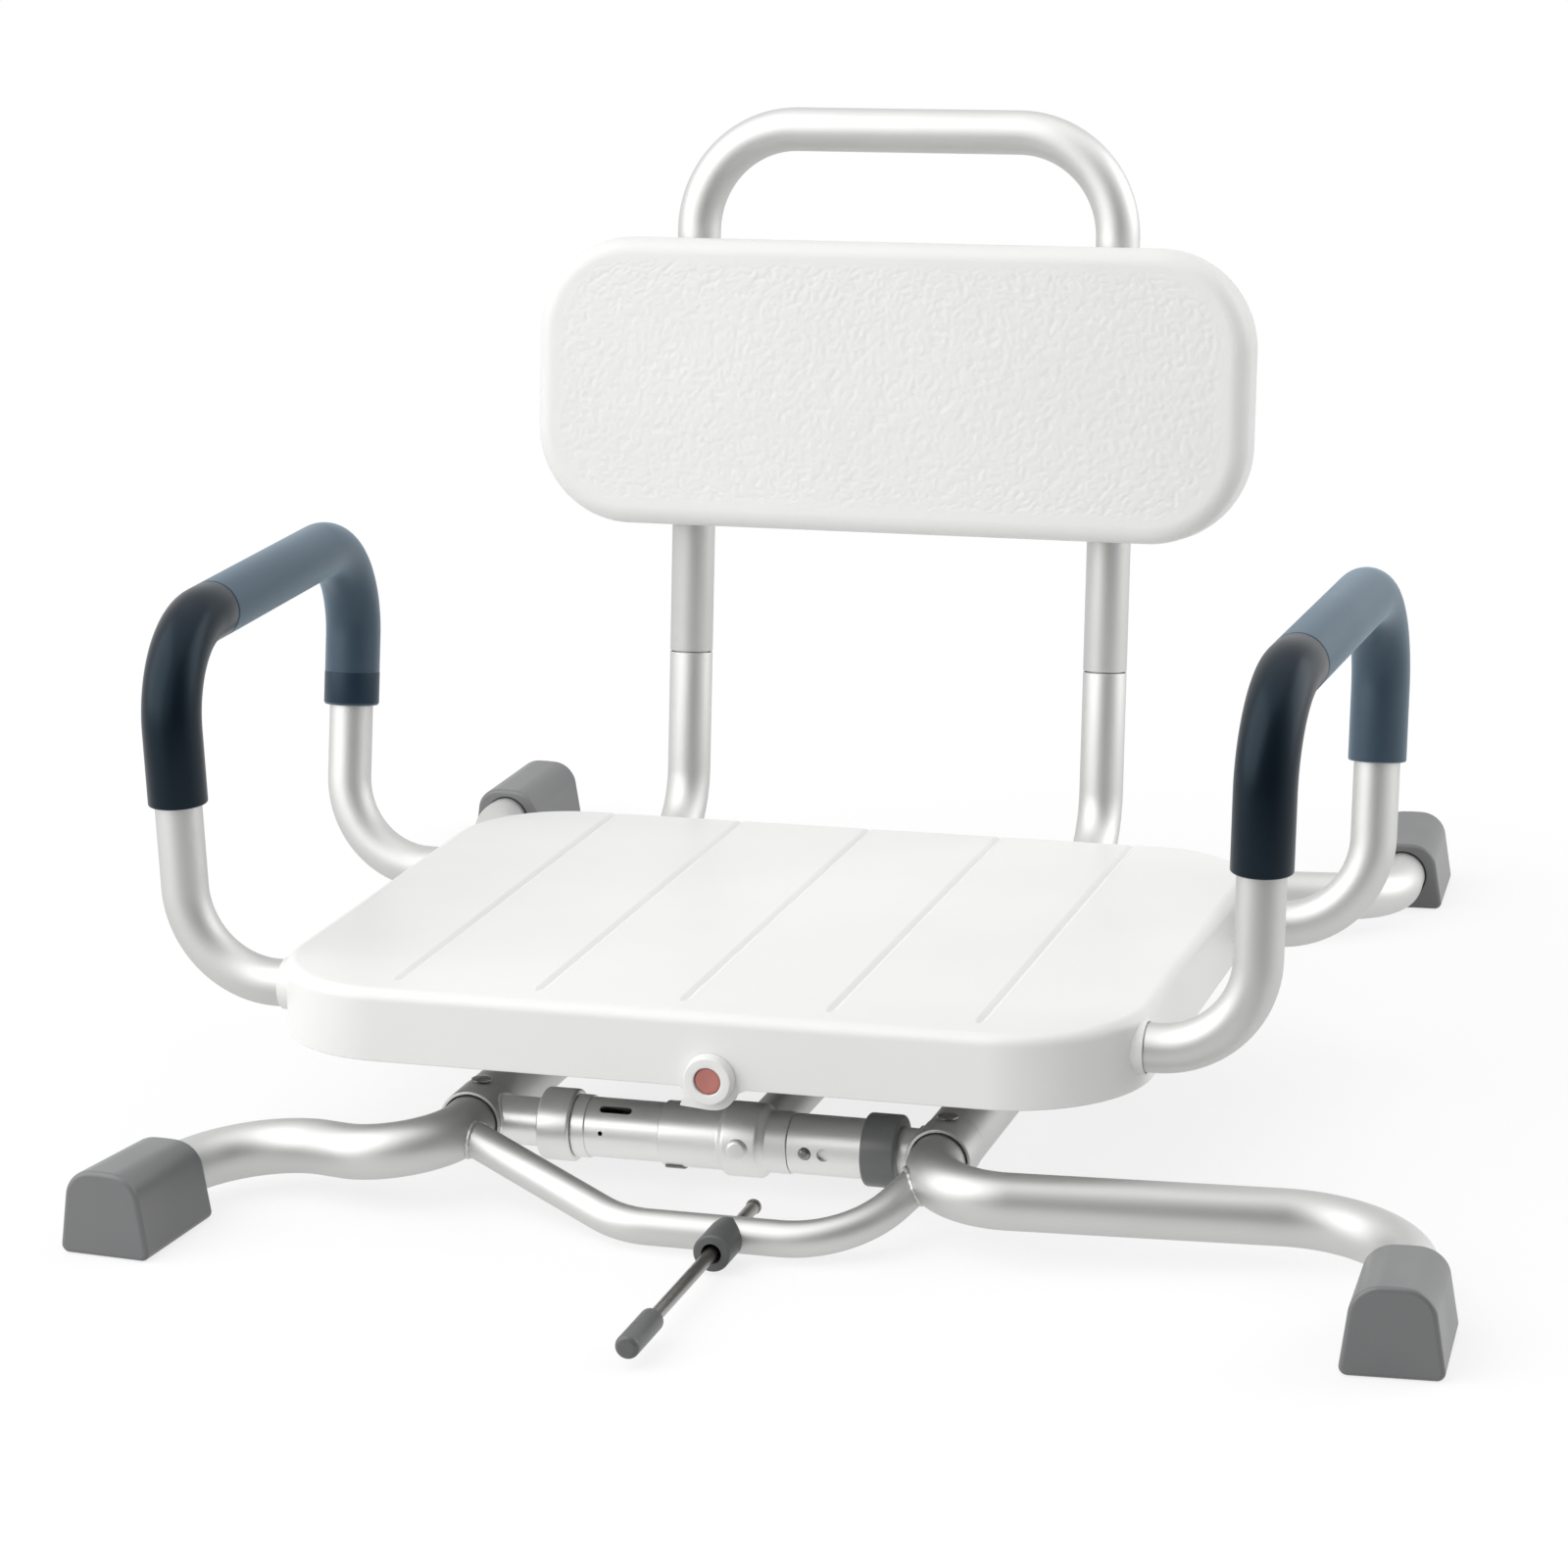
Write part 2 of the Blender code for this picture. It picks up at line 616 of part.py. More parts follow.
def cut_seat_holes(shell):
    """The bores for the arms and posts, and the holes for the catch screw, the rod and the housing."""
    bore = SOCKET_BORE
    low_x = ARM_END_X - 0.010
    for side in (-1, 1):
        for name, y in ARM_Y.items():
            length = SEAT_WIDTH / 2 + 0.010 - low_x
            start = low_x if side > 0 else -low_x - length
            mesh = rod_mesh(f"arm_bore_{name}_{side}", bore, (start, y, ARM_Z[name]), length, "x")
            cut(shell, add_cutter(f"arm_bore_{name}_{side}", mesh, SEAT))
        start = (side * BACK_HALF, POST_END_Y - 0.010, POST_Z)
        length = SEAT_REAR + 0.010 - start[1]
        mesh = rod_mesh(f"post_bore_{side}", bore, start, length, "y")
        cut(shell, add_cutter(f"post_bore_{side}", mesh, SEAT))
    hole = CATCH_SCREW + SCREW_GAP
    start = (BUTTON_X, CATCH_SCREW_Y, LEAF_Z + LEAF_THICK - 0.002)
    mesh = rod_mesh("pilot", hole, start, 0.012, sides=10)
    cut(shell, add_cutter("pilot", mesh, SEAT))
    start = (BUTTON_X, GUIDE_Y - GUIDE_WALL, BUTTON_Z)
    mesh = rod_mesh("guide_hole", ROD_RADIUS + SLIDE_GAP, start, GUIDE_WALL * 2, "y", 12)
    cut(shell, add_cutter("guide_hole", mesh, SEAT))
    start = (BUTTON_X, -SEAT_FRONT - 0.002, BUTTON_Z)
    mesh = rod_mesh("housing_hole", HOUSING_NECK + SEAT_GAP, start, SKIN * 2 + 0.002, "y", 24)
    cut(shell, add_cutter("housing_hole", mesh, SEAT))


def build_seat(white):
    """The seat moulding: slatted deck, rounded rim and skirt, open underneath."""
    mesh = prism_mesh("seat_shell", seat_outline(), SKIRT_Z, SEAT_TOP_Z, edge=TOP_EDGE)
    shell = add_part("seat_shell", mesh, white, SEAT)
    inner = prism_mesh(
        "seat_pocket", seat_outline(SKIN), SKIRT_Z - SKIN, DECK_Z, edge=TOP_EDGE - SKIN,
    )
    cut(shell, add_cutter("seat_pocket", inner, SEAT))
    add_ribs(shell)
    add_housing_tab(shell)
    add_sockets(shell)
    cut_grooves(shell)
    cut_seat_holes(shell)


def arm_corners(side):
    """Corners of one arm: in at the front, up, back along the top, down and in again."""
    low_x = side * ARM_OUT
    front_x = side * (ARM_OUT + ARM_LEAN)
    rear_x = side * (ARM_OUT + ARM_SPLAY)
    return [
        (side * ARM_END_X, ARM_Y["front"], ARM_Z["front"]),
        (low_x, ARM_Y["front"], ARM_Z["front"]),
        (front_x, ARM_Y["front"], ARM_TOP_Z),
        (rear_x, ARM_TOP_REAR_Y, ARM_TOP_Z),
        (rear_x, ARM_Y["rear"], ARM_Z["rear"]),
        (side * ARM_END_X, ARM_Y["rear"], ARM_Z["rear"]),
    ]


def at_height(low, high, z):
    """The point of a leaning upright at a given height."""
    return Vector(low).lerp(Vector(high), (z - low[2]) / (high[2] - low[2]))


def build_arm(name, side, metal, dark, light):
    """One arm hoop with its two grip halves."""
    corners = arm_corners(side)
    tube(f"{name}_arm", rounded_route(corners, [ARM_BEND] * 4), ARM_TUBE, ARM_WALL, TUBE_SIDES, metal, SEAT)
    bore = ARM_TUBE + SEAT_GAP
    share = (GRIP_SEAM_Y - ARM_Y["front"]) / (ARM_TOP_REAR_Y - ARM_Y["front"])
    seam = Vector(corners[2]).lerp(Vector(corners[3]), share)
    step = (Vector(corners[3]) - Vector(corners[2])).normalized() * SEAT_GAP
    front = [at_height(corners[1], corners[2], GRIP_LOW_Z["front"]), corners[2], seam]
    rear = [seam + step, corners[3], at_height(corners[4], corners[3], GRIP_LOW_Z["rear"])]
    for half, points, material in (("front", front, dark), ("top", rear, light)):
        route = rounded_route(points, [ARM_BEND])
        tube(f"{name}_grip_{half}", route, bore + GRIP_WALL, GRIP_WALL, TUBE_SIDES, material, SEAT)


def build_posts(metal):
    """The lower posts, which curve up behind the seat and carry a thinner spigot for the hoop."""
    lean = Vector((0.0, math.sin(BACK_LEAN), math.cos(BACK_LEAN)))
    for name, side in (("left", -1), ("right", 1)):
        seam = Vector((side * BACK_HALF, POST_SEAM_Y, POST_SEAM_Z))
        foot = seam - lean * ((POST_SEAM_Z - POST_Z) / lean.z)
        start = (side * BACK_HALF, POST_END_Y, POST_Z)
        points = rounded_route([start, foot, seam], [POST_BEND])
        post = tube(f"{name}_post", points, ARM_TUBE, ARM_WALL, TUBE_SIDES, metal, SEAT)
        wall = ARM_TUBE - ARM_WALL / 2
        profile = [
            (SPIGOT - ARM_WALL, -SPIGOT_DOWN), (wall, -SPIGOT_DOWN), (wall, -0.0010), (SPIGOT, -0.0010),
            (SPIGOT, SPIGOT_UP), (SPIGOT - ARM_WALL, SPIGOT_UP),
        ]
        mesh = lathe_mesh(f"{name}_spigot", profile, (side * BACK_HALF, 0.0, 0.0), steps=TUBE_SIDES)
        join(post, add_cutter(f"{name}_spigot", mesh, BACK))


def panel_screw_places():
    """The four screws through the hoop into the backrest panel, in the leaning frame."""
    return [
        (f"{side}_{level}", sign * BACK_HALF, PANEL_MIDDLE + rise * PANEL_SCREW_RISE)
        for side, sign in (("left", -1), ("right", 1)) for level, rise in (("low", -1), ("high", 1))
    ]


def build_backrest(metal, white, steel):
    """The upper hoop, the moulded panel on its front and the screws between them."""
    corners = [
        (-BACK_HALF, 0.0, SEAT_GAP * 2), (-BACK_HALF, 0.0, HOOP_HEIGHT),
        (BACK_HALF, 0.0, HOOP_HEIGHT), (BACK_HALF, 0.0, SEAT_GAP * 2),
    ]
    route = rounded_route(corners, [HOOP_BEND] * 2)
    hoop = tube("back_hoop", route, ARM_TUBE, ARM_WALL, TUBE_SIDES, metal, BACK)
    rear = -ARM_TUBE - SEAT_GAP
    outline = [
        (x, PANEL_MIDDLE + z)
        for x, z in rounded_outline(
            PANEL_WIDTH / 2, -PANEL_HEIGHT / 2, PANEL_HEIGHT / 2, PANEL_CORNER, PANEL_CORNER, 7)
    ]
    mesh = prism_mesh(
        "back_panel", outline, rear - PANEL_THICK, rear, "y", edge=PANEL_EDGE, edge_side="low")
    panel = add_part("back_panel", mesh, white, BACK)
    hole = PANEL_SCREW + SCREW_GAP
    drills = []
    for place, x, z in panel_screw_places():
        drills.append(rod_mesh("drill", hole, (x, rear - 0.013, z), ARM_TUBE * 2 + 0.016, "y", 10))
        head = (x, ARM_TUBE + SEAT_GAP, z)
        mesh = screw_mesh(head, PANEL_SCREW, ARM_TUBE * 2 + 0.0115, 0.0042, 0.0022, "-y")
        add_part(f"panel_screw_{place}", mesh, steel, BACK)
    drill = add_cutter("panel_drill", group_mesh("panel_drill", drills), BACK)
    cut(hoop, drill)
    cut(panel, drill)


SCREW_TURNS = {
    "-z": Matrix.Identity(4),
    "+z": Matrix.Rotation(math.pi, 4, "X"),
    "-y": Matrix.Rotation(-math.pi / 2, 4, "X"),
}


def screw_mesh(seat, shank, length, head, head_height, direction):
    """A screw in one solid: the underside of its head lies at a point and its shank runs in a direction."""
    profile = [
        (0.0, head_height), (head * 0.65, head_height * 0.9), (head, head_height * 0.4), (head, 0.0),
        (shank, 0.0), (shank, -length), (0.0, -length),
    ]
    mesh = lathe_mesh("screw", profile, steps=SCREW_SIDES)
    mesh.transform(Matrix.Translation(seat) @ SCREW_TURNS[direction])
    return mesh


def build_turntable(metal, plastic, steel):
    """The bearing: base plate, index plate, glide ring, turning plate and the spindle through them."""
    spindle_hole = SPINDLE + SLIDE_GAP
    half_x = SLEEVE_HALF_GAP + SLEEVE_RADIUS + SEAT_GAP + BASE_PLATE
    top = PLATE_Z + BASE_PLATE
    low = PLATE_Z - PLATE_FLANGE
    inner = half_x - BASE_PLATE
    outline = [
        (-half_x, low), (-inner, low), (-inner, PLATE_Z), (inner, PLATE_Z),
        (inner, low), (half_x, low), (half_x, top), (-half_x, top),
    ]
    mesh = prism_mesh("base_plate", outline, -PLATE_HALF_Y, PLATE_HALF_Y, "y")
    plate = add_part("base_plate", mesh, metal, BASE, smooth=0)
    hole = rod_mesh("spindle_hole", spindle_hole, (0.0, 0.0, low), 0.06)
    hole = add_cutter("spindle_hole", hole, BASE)
    cut(plate, hole)
    mesh = lathe_mesh(
        "index_plate",
        [(spindle_hole, 0.0), (INDEX_RADIUS, 0.0), (INDEX_RADIUS, INDEX_PLATE), (spindle_hole, INDEX_PLATE)],
        (0.0, 0.0, INDEX_Z), steps=48,
    )
    index = add_part("index_plate", mesh, metal, BASE)
    notches = []
    for quarter in range(4):
        half = LEAF_WIDTH / 2 + SLIDE_GAP
        low = (BUTTON_X - half, NOSE_Y - LEAF_THICK / 2 - SLIDE_GAP, INDEX_Z - 0.002)
        high = (BUTTON_X + half, NOSE_Y + LEAF_THICK / 2 + SLIDE_GAP, INDEX_Z + INDEX_PLATE + 0.002)
        notch = box_mesh("notch", low, high)
        notch.transform(Matrix.Rotation(quarter * math.pi / 2, 4, "Z"))
        notches.append(notch)
    cut(index, add_cutter("index_notches", group_mesh("index_notches", notches), BASE))
    mesh = ring_mesh("glide_ring", GLIDE_OUTER, GLIDE_INNER, (0.0, 0.0, GLIDE_Z), GLIDE_THICK, steps=32)
    add_part("glide_ring", mesh, plastic, BASE)
    mesh = ring_mesh("turntable_plate", TURN_RADIUS, spindle_hole, (0.0, 0.0, TURN_Z), TURN_PLATE, steps=40)
    turn = add_part("turntable_plate", mesh, metal, SEAT)
    stake_hole = STAKE + SCREW_GAP
    holes = [
        rod_mesh("hole", stake_hole, (x, y, TURN_Z - 0.002), 0.008, sides=12) for x, y in stake_places()
    ]
    cut(turn, add_cutter("stake_holes", group_mesh("stake_holes", holes), SEAT))
    nut_z = TURN_Z + TURN_PLATE + SEAT_GAP
    bolt_top = nut_z + SPINDLE_NUT + 0.003
    head_z = PLATE_Z - SEAT_GAP - SPINDLE_HEAD
    profile = [
        (0.0, 0.0), (SPINDLE_HEX, 0.0), (SPINDLE_HEX, SPINDLE_HEAD), (SPINDLE, SPINDLE_HEAD),
        (SPINDLE, bolt_top - head_z - 0.001), (SPINDLE - 0.001, bolt_top - head_z), (0.0, bolt_top - head_z),
    ]
    mesh = lathe_mesh("spindle_bolt", profile, (0.0, 0.0, head_z), steps=18)
    add_part("spindle_bolt", mesh, steel, BASE)
    bore = SPINDLE + SEAT_GAP
    flange = SPINDLE_HEX + 0.003
    profile = [
        (bore, 0.0), (flange, 0.0), (flange, SPINDLE_WASHER), (SPINDLE_HEX, SPINDLE_WASHER),
        (SPINDLE_HEX, SPINDLE_NUT), (bore, SPINDLE_NUT),
    ]
    mesh = lathe_mesh("spindle_nut", profile, (0.0, 0.0, nut_z), steps=18)
    add_part("spindle_nut", mesh, steel, BASE)


def build_catch(steel):
    """The leaf that drops into the index plate, with its screw."""
    screw_y = LEAF_REAR_Y
    tip_y = NOSE_Y - LEAF_TIP
    half = LEAF_THICK / 2
    top = LEAF_Z + LEAF_THICK
    nose_z = INDEX_Z + 0.0006
    outline = [
        (screw_y, LEAF_Z), (screw_y, top), (tip_y, top), (tip_y, LEAF_Z),
        (NOSE_Y - half, LEAF_Z), (NOSE_Y - half, nose_z), (NOSE_Y + half, nose_z), (NOSE_Y + half, LEAF_Z),
    ]
    mesh = prism_mesh("catch_spring", outline, BUTTON_X - LEAF_WIDTH / 2, BUTTON_X + LEAF_WIDTH / 2, "x")
    leaf = add_part("catch_spring", mesh, steel, SEAT, smooth=0)
    hole = CATCH_SCREW + SCREW_GAP
    mesh = rod_mesh("leaf_hole", hole, (BUTTON_X, CATCH_SCREW_Y, LEAF_Z - 0.002), 0.006, sides=10)
    cut(leaf, add_cutter("leaf_hole", mesh, SEAT))
    under = (BUTTON_X, CATCH_SCREW_Y, LEAF_Z - SEAT_GAP)
    add_part("catch_screw", screw_mesh(under, CATCH_SCREW, 0.010, 0.0045, 0.0018, "+z"), steel, SEAT)


def build_button(white, red, steel):
    """The release button in the front skirt, its rod, spring and housing."""
    front = -SEAT_FRONT - HOUSING_FLANGE - SEAT_GAP
    bore = BUTTON_RADIUS + SEAT_GAP
    flange = HOUSING_RADIUS
    profile = [
        (bore, 0.0), (flange - 0.0014, 0.0), (flange - 0.0006, 0.0008), (flange, HOUSING_FLANGE),
        (HOUSING_NECK, HOUSING_FLANGE), (HOUSING_NECK, HOUSING_LENGTH), (bore, HOUSING_LENGTH),
    ]
    mesh = lathe_mesh("button_housing", profile, (BUTTON_X, front, BUTTON_Z), "y")
    add_part("button_housing", mesh, white, SEAT)
    button_y = front + BUTTON_SUNK
    button_end = button_y + BUTTON_LENGTH
    radius = BUTTON_RADIUS
    profile = [
        (0.0, 0.0), (radius - 0.0006, 0.0), (radius, 0.0006), (radius, BUTTON_LENGTH),
        (0.0, BUTTON_LENGTH),
    ]
    mesh = lathe_mesh("release_button", profile, (0.0, button_y, 0.0), "y")
    add_part("release_button", mesh, red, BUTTON)
    guide_y = GUIDE_Y - GUIDE_WALL / 2
    shoulder_y = guide_y - SPRING_LENGTH - SEAT_GAP * 2
    wedge_y = NOSE_Y - LEAF_TIP - WEDGE_CLEAR
    rod_start = button_end + SEAT_GAP
    shoulder = SPRING_RADIUS + SPRING_WIRE
    rod_end = wedge_y - WEDGE_LENGTH + 0.001
    profile = [
        (0.0, 0.0), (ROD_RADIUS, 0.0), (ROD_RADIUS, shoulder_y - 0.0015 - rod_start),
        (shoulder, shoulder_y - 0.0015 - rod_start), (shoulder, shoulder_y - rod_start),
        (ROD_RADIUS, shoulder_y - rod_start), (ROD_RADIUS, rod_end - rod_start), (0.0, rod_end - rod_start),
    ]
    mesh = lathe_mesh("push_rod", profile, (0.0, rod_start, 0.0), "y", 12)
    rod = add_part("push_rod", mesh, steel, BUTTON)
    top = LEAF_Z - BUTTON_Z - SEAT_GAP
    outline = [
        (wedge_y - WEDGE_LENGTH, -ROD_RADIUS * 1.1), (wedge_y, -ROD_RADIUS * 1.1), (wedge_y, top - 0.002),
        (wedge_y - 0.004, top + 0.002), (wedge_y - WEDGE_LENGTH, top + 0.002),
    ]
    mesh = prism_mesh("wedge", outline, -ROD_RADIUS * 1.3, ROD_RADIUS * 1.3, "x")
    join(rod, add_cutter("wedge", mesh, BUTTON))
    coil = []
    count = SPRING_TURNS * 8
    for index in range(count + 1):
        turn = math.tau * index / 8
        along = shoulder_y + SEAT_GAP + SPRING_WIRE + (SPRING_LENGTH - SPRING_WIRE * 2) * index / count
        coil.append(Vector((SPRING_RADIUS * math.cos(turn), along, SPRING_RADIUS * math.sin(turn))))
    add_part("button_spring", route_mesh("button_spring", coil, SPRING_WIRE, 6, True), steel, BUTTON)
    apart = min((a - b).length for index, a in enumerate(coil) for b in coil[index + 5:])
    print(f"button_spring: least gap to itself {(apart - SPRING_WIRE * 2) * 1000:.2f} mm")


def build_sleeves(metal, steel):
    """The two sleeves that the legs slide in, with a collar at each mouth, and their guide screws."""
    inner = MOUTH_Y - BUSH_LENGTH
    groove = SLEEVE_RADIUS - SLEEVE_GROOVE
    edge = 0.0005
    half = [
        (SLEEVE_BORE, MOUTH_Y), (BUSH_RADIUS - edge, MOUTH_Y), (BUSH_RADIUS, MOUTH_Y - edge),
        (BUSH_RADIUS, inner), (groove, inner), (groove, inner - SLEEVE_GROOVE * 2),
        (SLEEVE_RADIUS, inner - SLEEVE_GROOVE * 2),
    ]
    profile = half + [(radius, -y) for radius, y in reversed(half)]
    for name, side in (("left", -1), ("right", 1)):
        x = side * SLEEVE_HALF_GAP
        mesh = lathe_mesh(f"{name}_sleeve", profile, (x, 0.0, SLEEVE_Z), "y")
        sleeve = add_part(f"{name}_sleeve", mesh, metal, BASE)
        holes = []
        for end, sign in (("front", -1), ("rear", 1)):
            y = sign * GUIDE_SCREW_Y
            holes.append(rod_mesh("hole", GUIDE_SCREW + SCREW_GAP, (x, y, SLEEVE_Z), 0.03, sides=12))
            head = (x, y, SLEEVE_Z + BUSH_RADIUS + SEAT_GAP)
            mesh = screw_mesh(head, GUIDE_SCREW, 0.0052, GUIDE_HEAD, 0.0018, "-z")
            add_part(f"guide_screw_{end}_{name}", mesh, steel, BASE)
        cut(sleeve, add_cutter(f"{name}_guide_holes", group_mesh(f"{name}_guide_holes", holes), BASE))


def sleeve_cutter(name):
    """Both sleeves as solids, to trim the tubes that meet them."""
    meshes = [
        rod_mesh(name, BUSH_RADIUS + SEAT_GAP, (side * SLEEVE_HALF_GAP, -MOUTH_Y, SLEEVE_Z), MOUTH_Y * 2, "y")
        for side in (-1, 1)
    ]
    return add_cutter(name, group_mesh(name, meshes), BASE)


def build_cross_tubes(metal, cast, dark, steel):
    """The front cross tube with its tee, collars and snap button, and the plain rear one."""
    trim = sleeve_cutter("sleeve_trim")
    bore = CROSS_TUBE - CROSS_WALL
    stub_bore = STUB_TUBE - CROSS_WALL
    plug_bore = PLUG_TUBE - CROSS_WALL
    step = LEFT_COLLAR[1] - COLLAR_SHELF
    ring = CROSS_TUBE + 0.0008
    tee_gap = TEE_LEFT - SEAT_GAP
    outer = [
        (STUB_TUBE, -SLEEVE_HALF_GAP), (STUB_TUBE, step), (CROSS_TUBE, step),
        (CROSS_TUBE, LEFT_COLLAR[1] + SEAT_GAP), (ring, LEFT_COLLAR[1] + SEAT_GAP), (ring, LEFT_RING_END),
        (CROSS_TUBE, LEFT_RING_END), (CROSS_TUBE, tee_gap), (PLUG_TUBE, tee_gap),
        (PLUG_TUBE, TEE_LEFT + PLUG_LENGTH),
    ]
    inner = [
        (plug_bore, TEE_LEFT + PLUG_LENGTH), (plug_bore, tee_gap - CROSS_WALL), (bore, tee_gap - CROSS_WALL),
        (bore, step + CROSS_WALL), (stub_bore, step + CROSS_WALL), (stub_bore, -SLEEVE_HALF_GAP),
    ]
    place = (0.0, -CROSS_Y, CROSS_Z)
    mesh = lathe_mesh("cross_tube_left", outer + inner, place, "x")
    left = add_part("cross_tube_left", mesh, metal, BASE)
    cut(left, trim)
    low = (TUBE_SLOT[0], -CROSS_Y - 0.0017, CROSS_Z)
    high = (TUBE_SLOT[1], -CROSS_Y + 0.0017, CROSS_Z + CROSS_TUBE + 0.002)
    cut(left, add_cutter("tube_slot", box_mesh("tube_slot", low, high), BASE))
    step = RIGHT_COLLAR[0] + COLLAR_SHELF
    tee_gap = TEE_RIGHT + SEAT_GAP
    outer = [
        (PLUG_TUBE, TEE_RIGHT - PLUG_LENGTH), (PLUG_TUBE, tee_gap), (CROSS_TUBE, tee_gap),
        (CROSS_TUBE, step), (STUB_TUBE, step), (STUB_TUBE, SLEEVE_HALF_GAP),
    ]
    inner = [
        (stub_bore, SLEEVE_HALF_GAP), (stub_bore, step - CROSS_WALL), (bore, step - CROSS_WALL),
        (bore, tee_gap + CROSS_WALL), (plug_bore, tee_gap + CROSS_WALL),
        (plug_bore, TEE_RIGHT - PLUG_LENGTH),
    ]
    mesh = lathe_mesh("cross_tube_right", outer + inner, place, "x")
    right = add_part("cross_tube_right", mesh, metal, BASE)
    cut(right, trim)
    holes = [
        rod_mesh("hole", SNAP_RADIUS + SCREW_GAP, (x, -CROSS_Y - CROSS_TUBE - 0.002, CROSS_Z), 0.008, "y", 12)
        for x in (SNAP_X, SNAP_HOLE_X)
    ]
    cut(right, add_cutter("snap_holes", group_mesh("snap_holes", holes), BASE))
    build_collars(cast, dark, place)
    build_tee(cast, place)
    build_snap(steel)
    length = SLEEVE_HALF_GAP * 2
    mesh = ring_mesh(
        "rear_cross_tube", REAR_CROSS_TUBE, REAR_CROSS_TUBE - CROSS_WALL,
        (-SLEEVE_HALF_GAP, CROSS_Y, CROSS_Z), length, "x")
    rear = add_part("rear_cross_tube", mesh, metal, BASE)
    cut(rear, trim)
    mesh = ring_mesh(
        "centre_rail", RAIL_TUBE, RAIL_TUBE - CROSS_WALL, (RAIL_X, -CROSS_Y, CROSS_Z), CROSS_Y * 2, "y")
    rail = add_part("centre_rail", mesh, metal, BASE)
    ends = [
        rod_mesh("end", TEE_BULGE_RADIUS + SEAT_GAP, (-0.04, -CROSS_Y, CROSS_Z), 0.12, "x"),
        rod_mesh("end", REAR_CROSS_TUBE + SEAT_GAP, (-0.04, CROSS_Y, CROSS_Z), 0.12, "x"),
    ]
    cut(rail, add_cutter("rail_trim", group_mesh("rail_trim", ends), BASE))


def build_collars(cast, dark, place):
    """The two clamp collars on the front cross tube, bored in two steps."""
    edge = 0.0010
    wide = CROSS_TUBE + SEAT_GAP
    narrow = STUB_TUBE + SEAT_GAP
    low, high = LEFT_COLLAR
    step = high - COLLAR_SHELF - SEAT_GAP
    profile = [
        (narrow, low), (COLLAR_RADIUS - edge, low), (COLLAR_RADIUS, low + edge), (COLLAR_RADIUS, high - edge),
        (COLLAR_RADIUS - edge, high), (wide, high), (wide, step), (narrow, step),
    ]
    add_part("cross_collar_left", lathe_mesh("cross_collar_left", profile, place, "x"), cast, BASE)
    low, high = RIGHT_COLLAR
    step = low + COLLAR_SHELF + SEAT_GAP
    profile = [
        (wide, low), (COLLAR_RADIUS - edge, low), (COLLAR_RADIUS, low + edge), (COLLAR_RADIUS, high - edge),
        (COLLAR_RADIUS - edge, high), (narrow, high), (narrow, step), (wide, step),
    ]
    add_part("cross_collar_right", lathe_mesh("cross_collar_right", profile, place, "x"), dark, BASE)


def build_tee(cast, place):
    """The tee on the front cross tube that holds the centre rail, and its round cap."""
    bore = PLUG_TUBE + SEAT_GAP
    low, high = TEE_BULGE
    round_over = 0.0030
    profile = [
        (bore, TEE_LEFT), (TEE_RADIUS - 0.0006, TEE_LEFT), (TEE_RADIUS, TEE_LEFT + 0.0006),
        (TEE_RADIUS, low - 0.0006), (TEE_BULGE_RADIUS, low + round_over),
        (TEE_BULGE_RADIUS, high - round_over), (TEE_NECK_RADIUS, high), (TEE_NECK_RADIUS, TEE_RIGHT),
        (bore, TEE_RIGHT),
    ]
    tee = add_part("cross_tee", lathe_mesh("cross_tee", profile, place, "x"), cast, BASE)
    outer = -CROSS_Y - TEE_BULGE_RADIUS
    hole = rod_mesh(
        "cap_hole", TEE_CAP_RADIUS + SEAT_GAP, (TEE_CAP_X, outer - 0.002, CROSS_Z), 0.009, "y", 20)
    cut(tee, add_cutter("cap_hole", hole, BASE))
    profile = [
        (0.0, -TEE_CAP_PROUD), (TEE_CAP_RADIUS - 0.0007, -TEE_CAP_PROUD),
        (TEE_CAP_RADIUS, -TEE_CAP_PROUD + 0.0007), (TEE_CAP_RADIUS, 0.0045), (0.0, 0.0045),
    ]
    mesh = lathe_mesh("tee_cap", profile, (TEE_CAP_X, outer, CROSS_Z), "y", 20)
    add_part("tee_cap", mesh, cast, BASE)


def build_snap(steel):
    """The snap button in the front cross tube and the bent leaf spring behind it."""
    bore = CROSS_TUBE - CROSS_WALL
    seat = -CROSS_Y - math.sqrt(bore ** 2 - (SNAP_FLANGE + SEAT_GAP) ** 2) + SEAT_GAP
    tip = -CROSS_Y - CROSS_TUBE - SNAP_PROUD
    flange = 0.0010
    profile = [
        (0.0, tip), (SNAP_RADIUS * 0.6, tip + 0.0002), (SNAP_RADIUS, tip + 0.0011), (SNAP_RADIUS, seat),
        (SNAP_FLANGE, seat), (SNAP_FLANGE, seat + flange), (0.0, seat + flange),
    ]
    mesh = lathe_mesh("cross_button", profile, (SNAP_X, 0.0, CROSS_Z), "y", 12)
    add_part("cross_button", mesh, steel, BASE)
    near = seat + flange + SEAT_GAP
    far = -CROSS_Y + bore - 0.0016
    thick = 0.0005
    left = SNAP_X - 0.0030
    bend = SNAP_X + 0.0240
    outline = [
        (left, near), (SNAP_X + 0.0030, near), (bend, (near + far) / 2 - 0.0015),
        (bend, (near + far) / 2 + 0.0015), (SNAP_X + 0.0030, far), (left, far), (left, far - thick),
        (SNAP_X + 0.0028, far - thick), (bend - thick, (near + far) / 2 + 0.0013),
        (bend - thick, (near + far) / 2 - 0.0013), (SNAP_X + 0.0028, near + thick), (left, near + thick),
    ]
    mesh = prism_mesh("snap_spring", outline, CROSS_Z - 0.0022, CROSS_Z + 0.0022)
    add_part("snap_spring", mesh, steel, BASE, smooth=0)


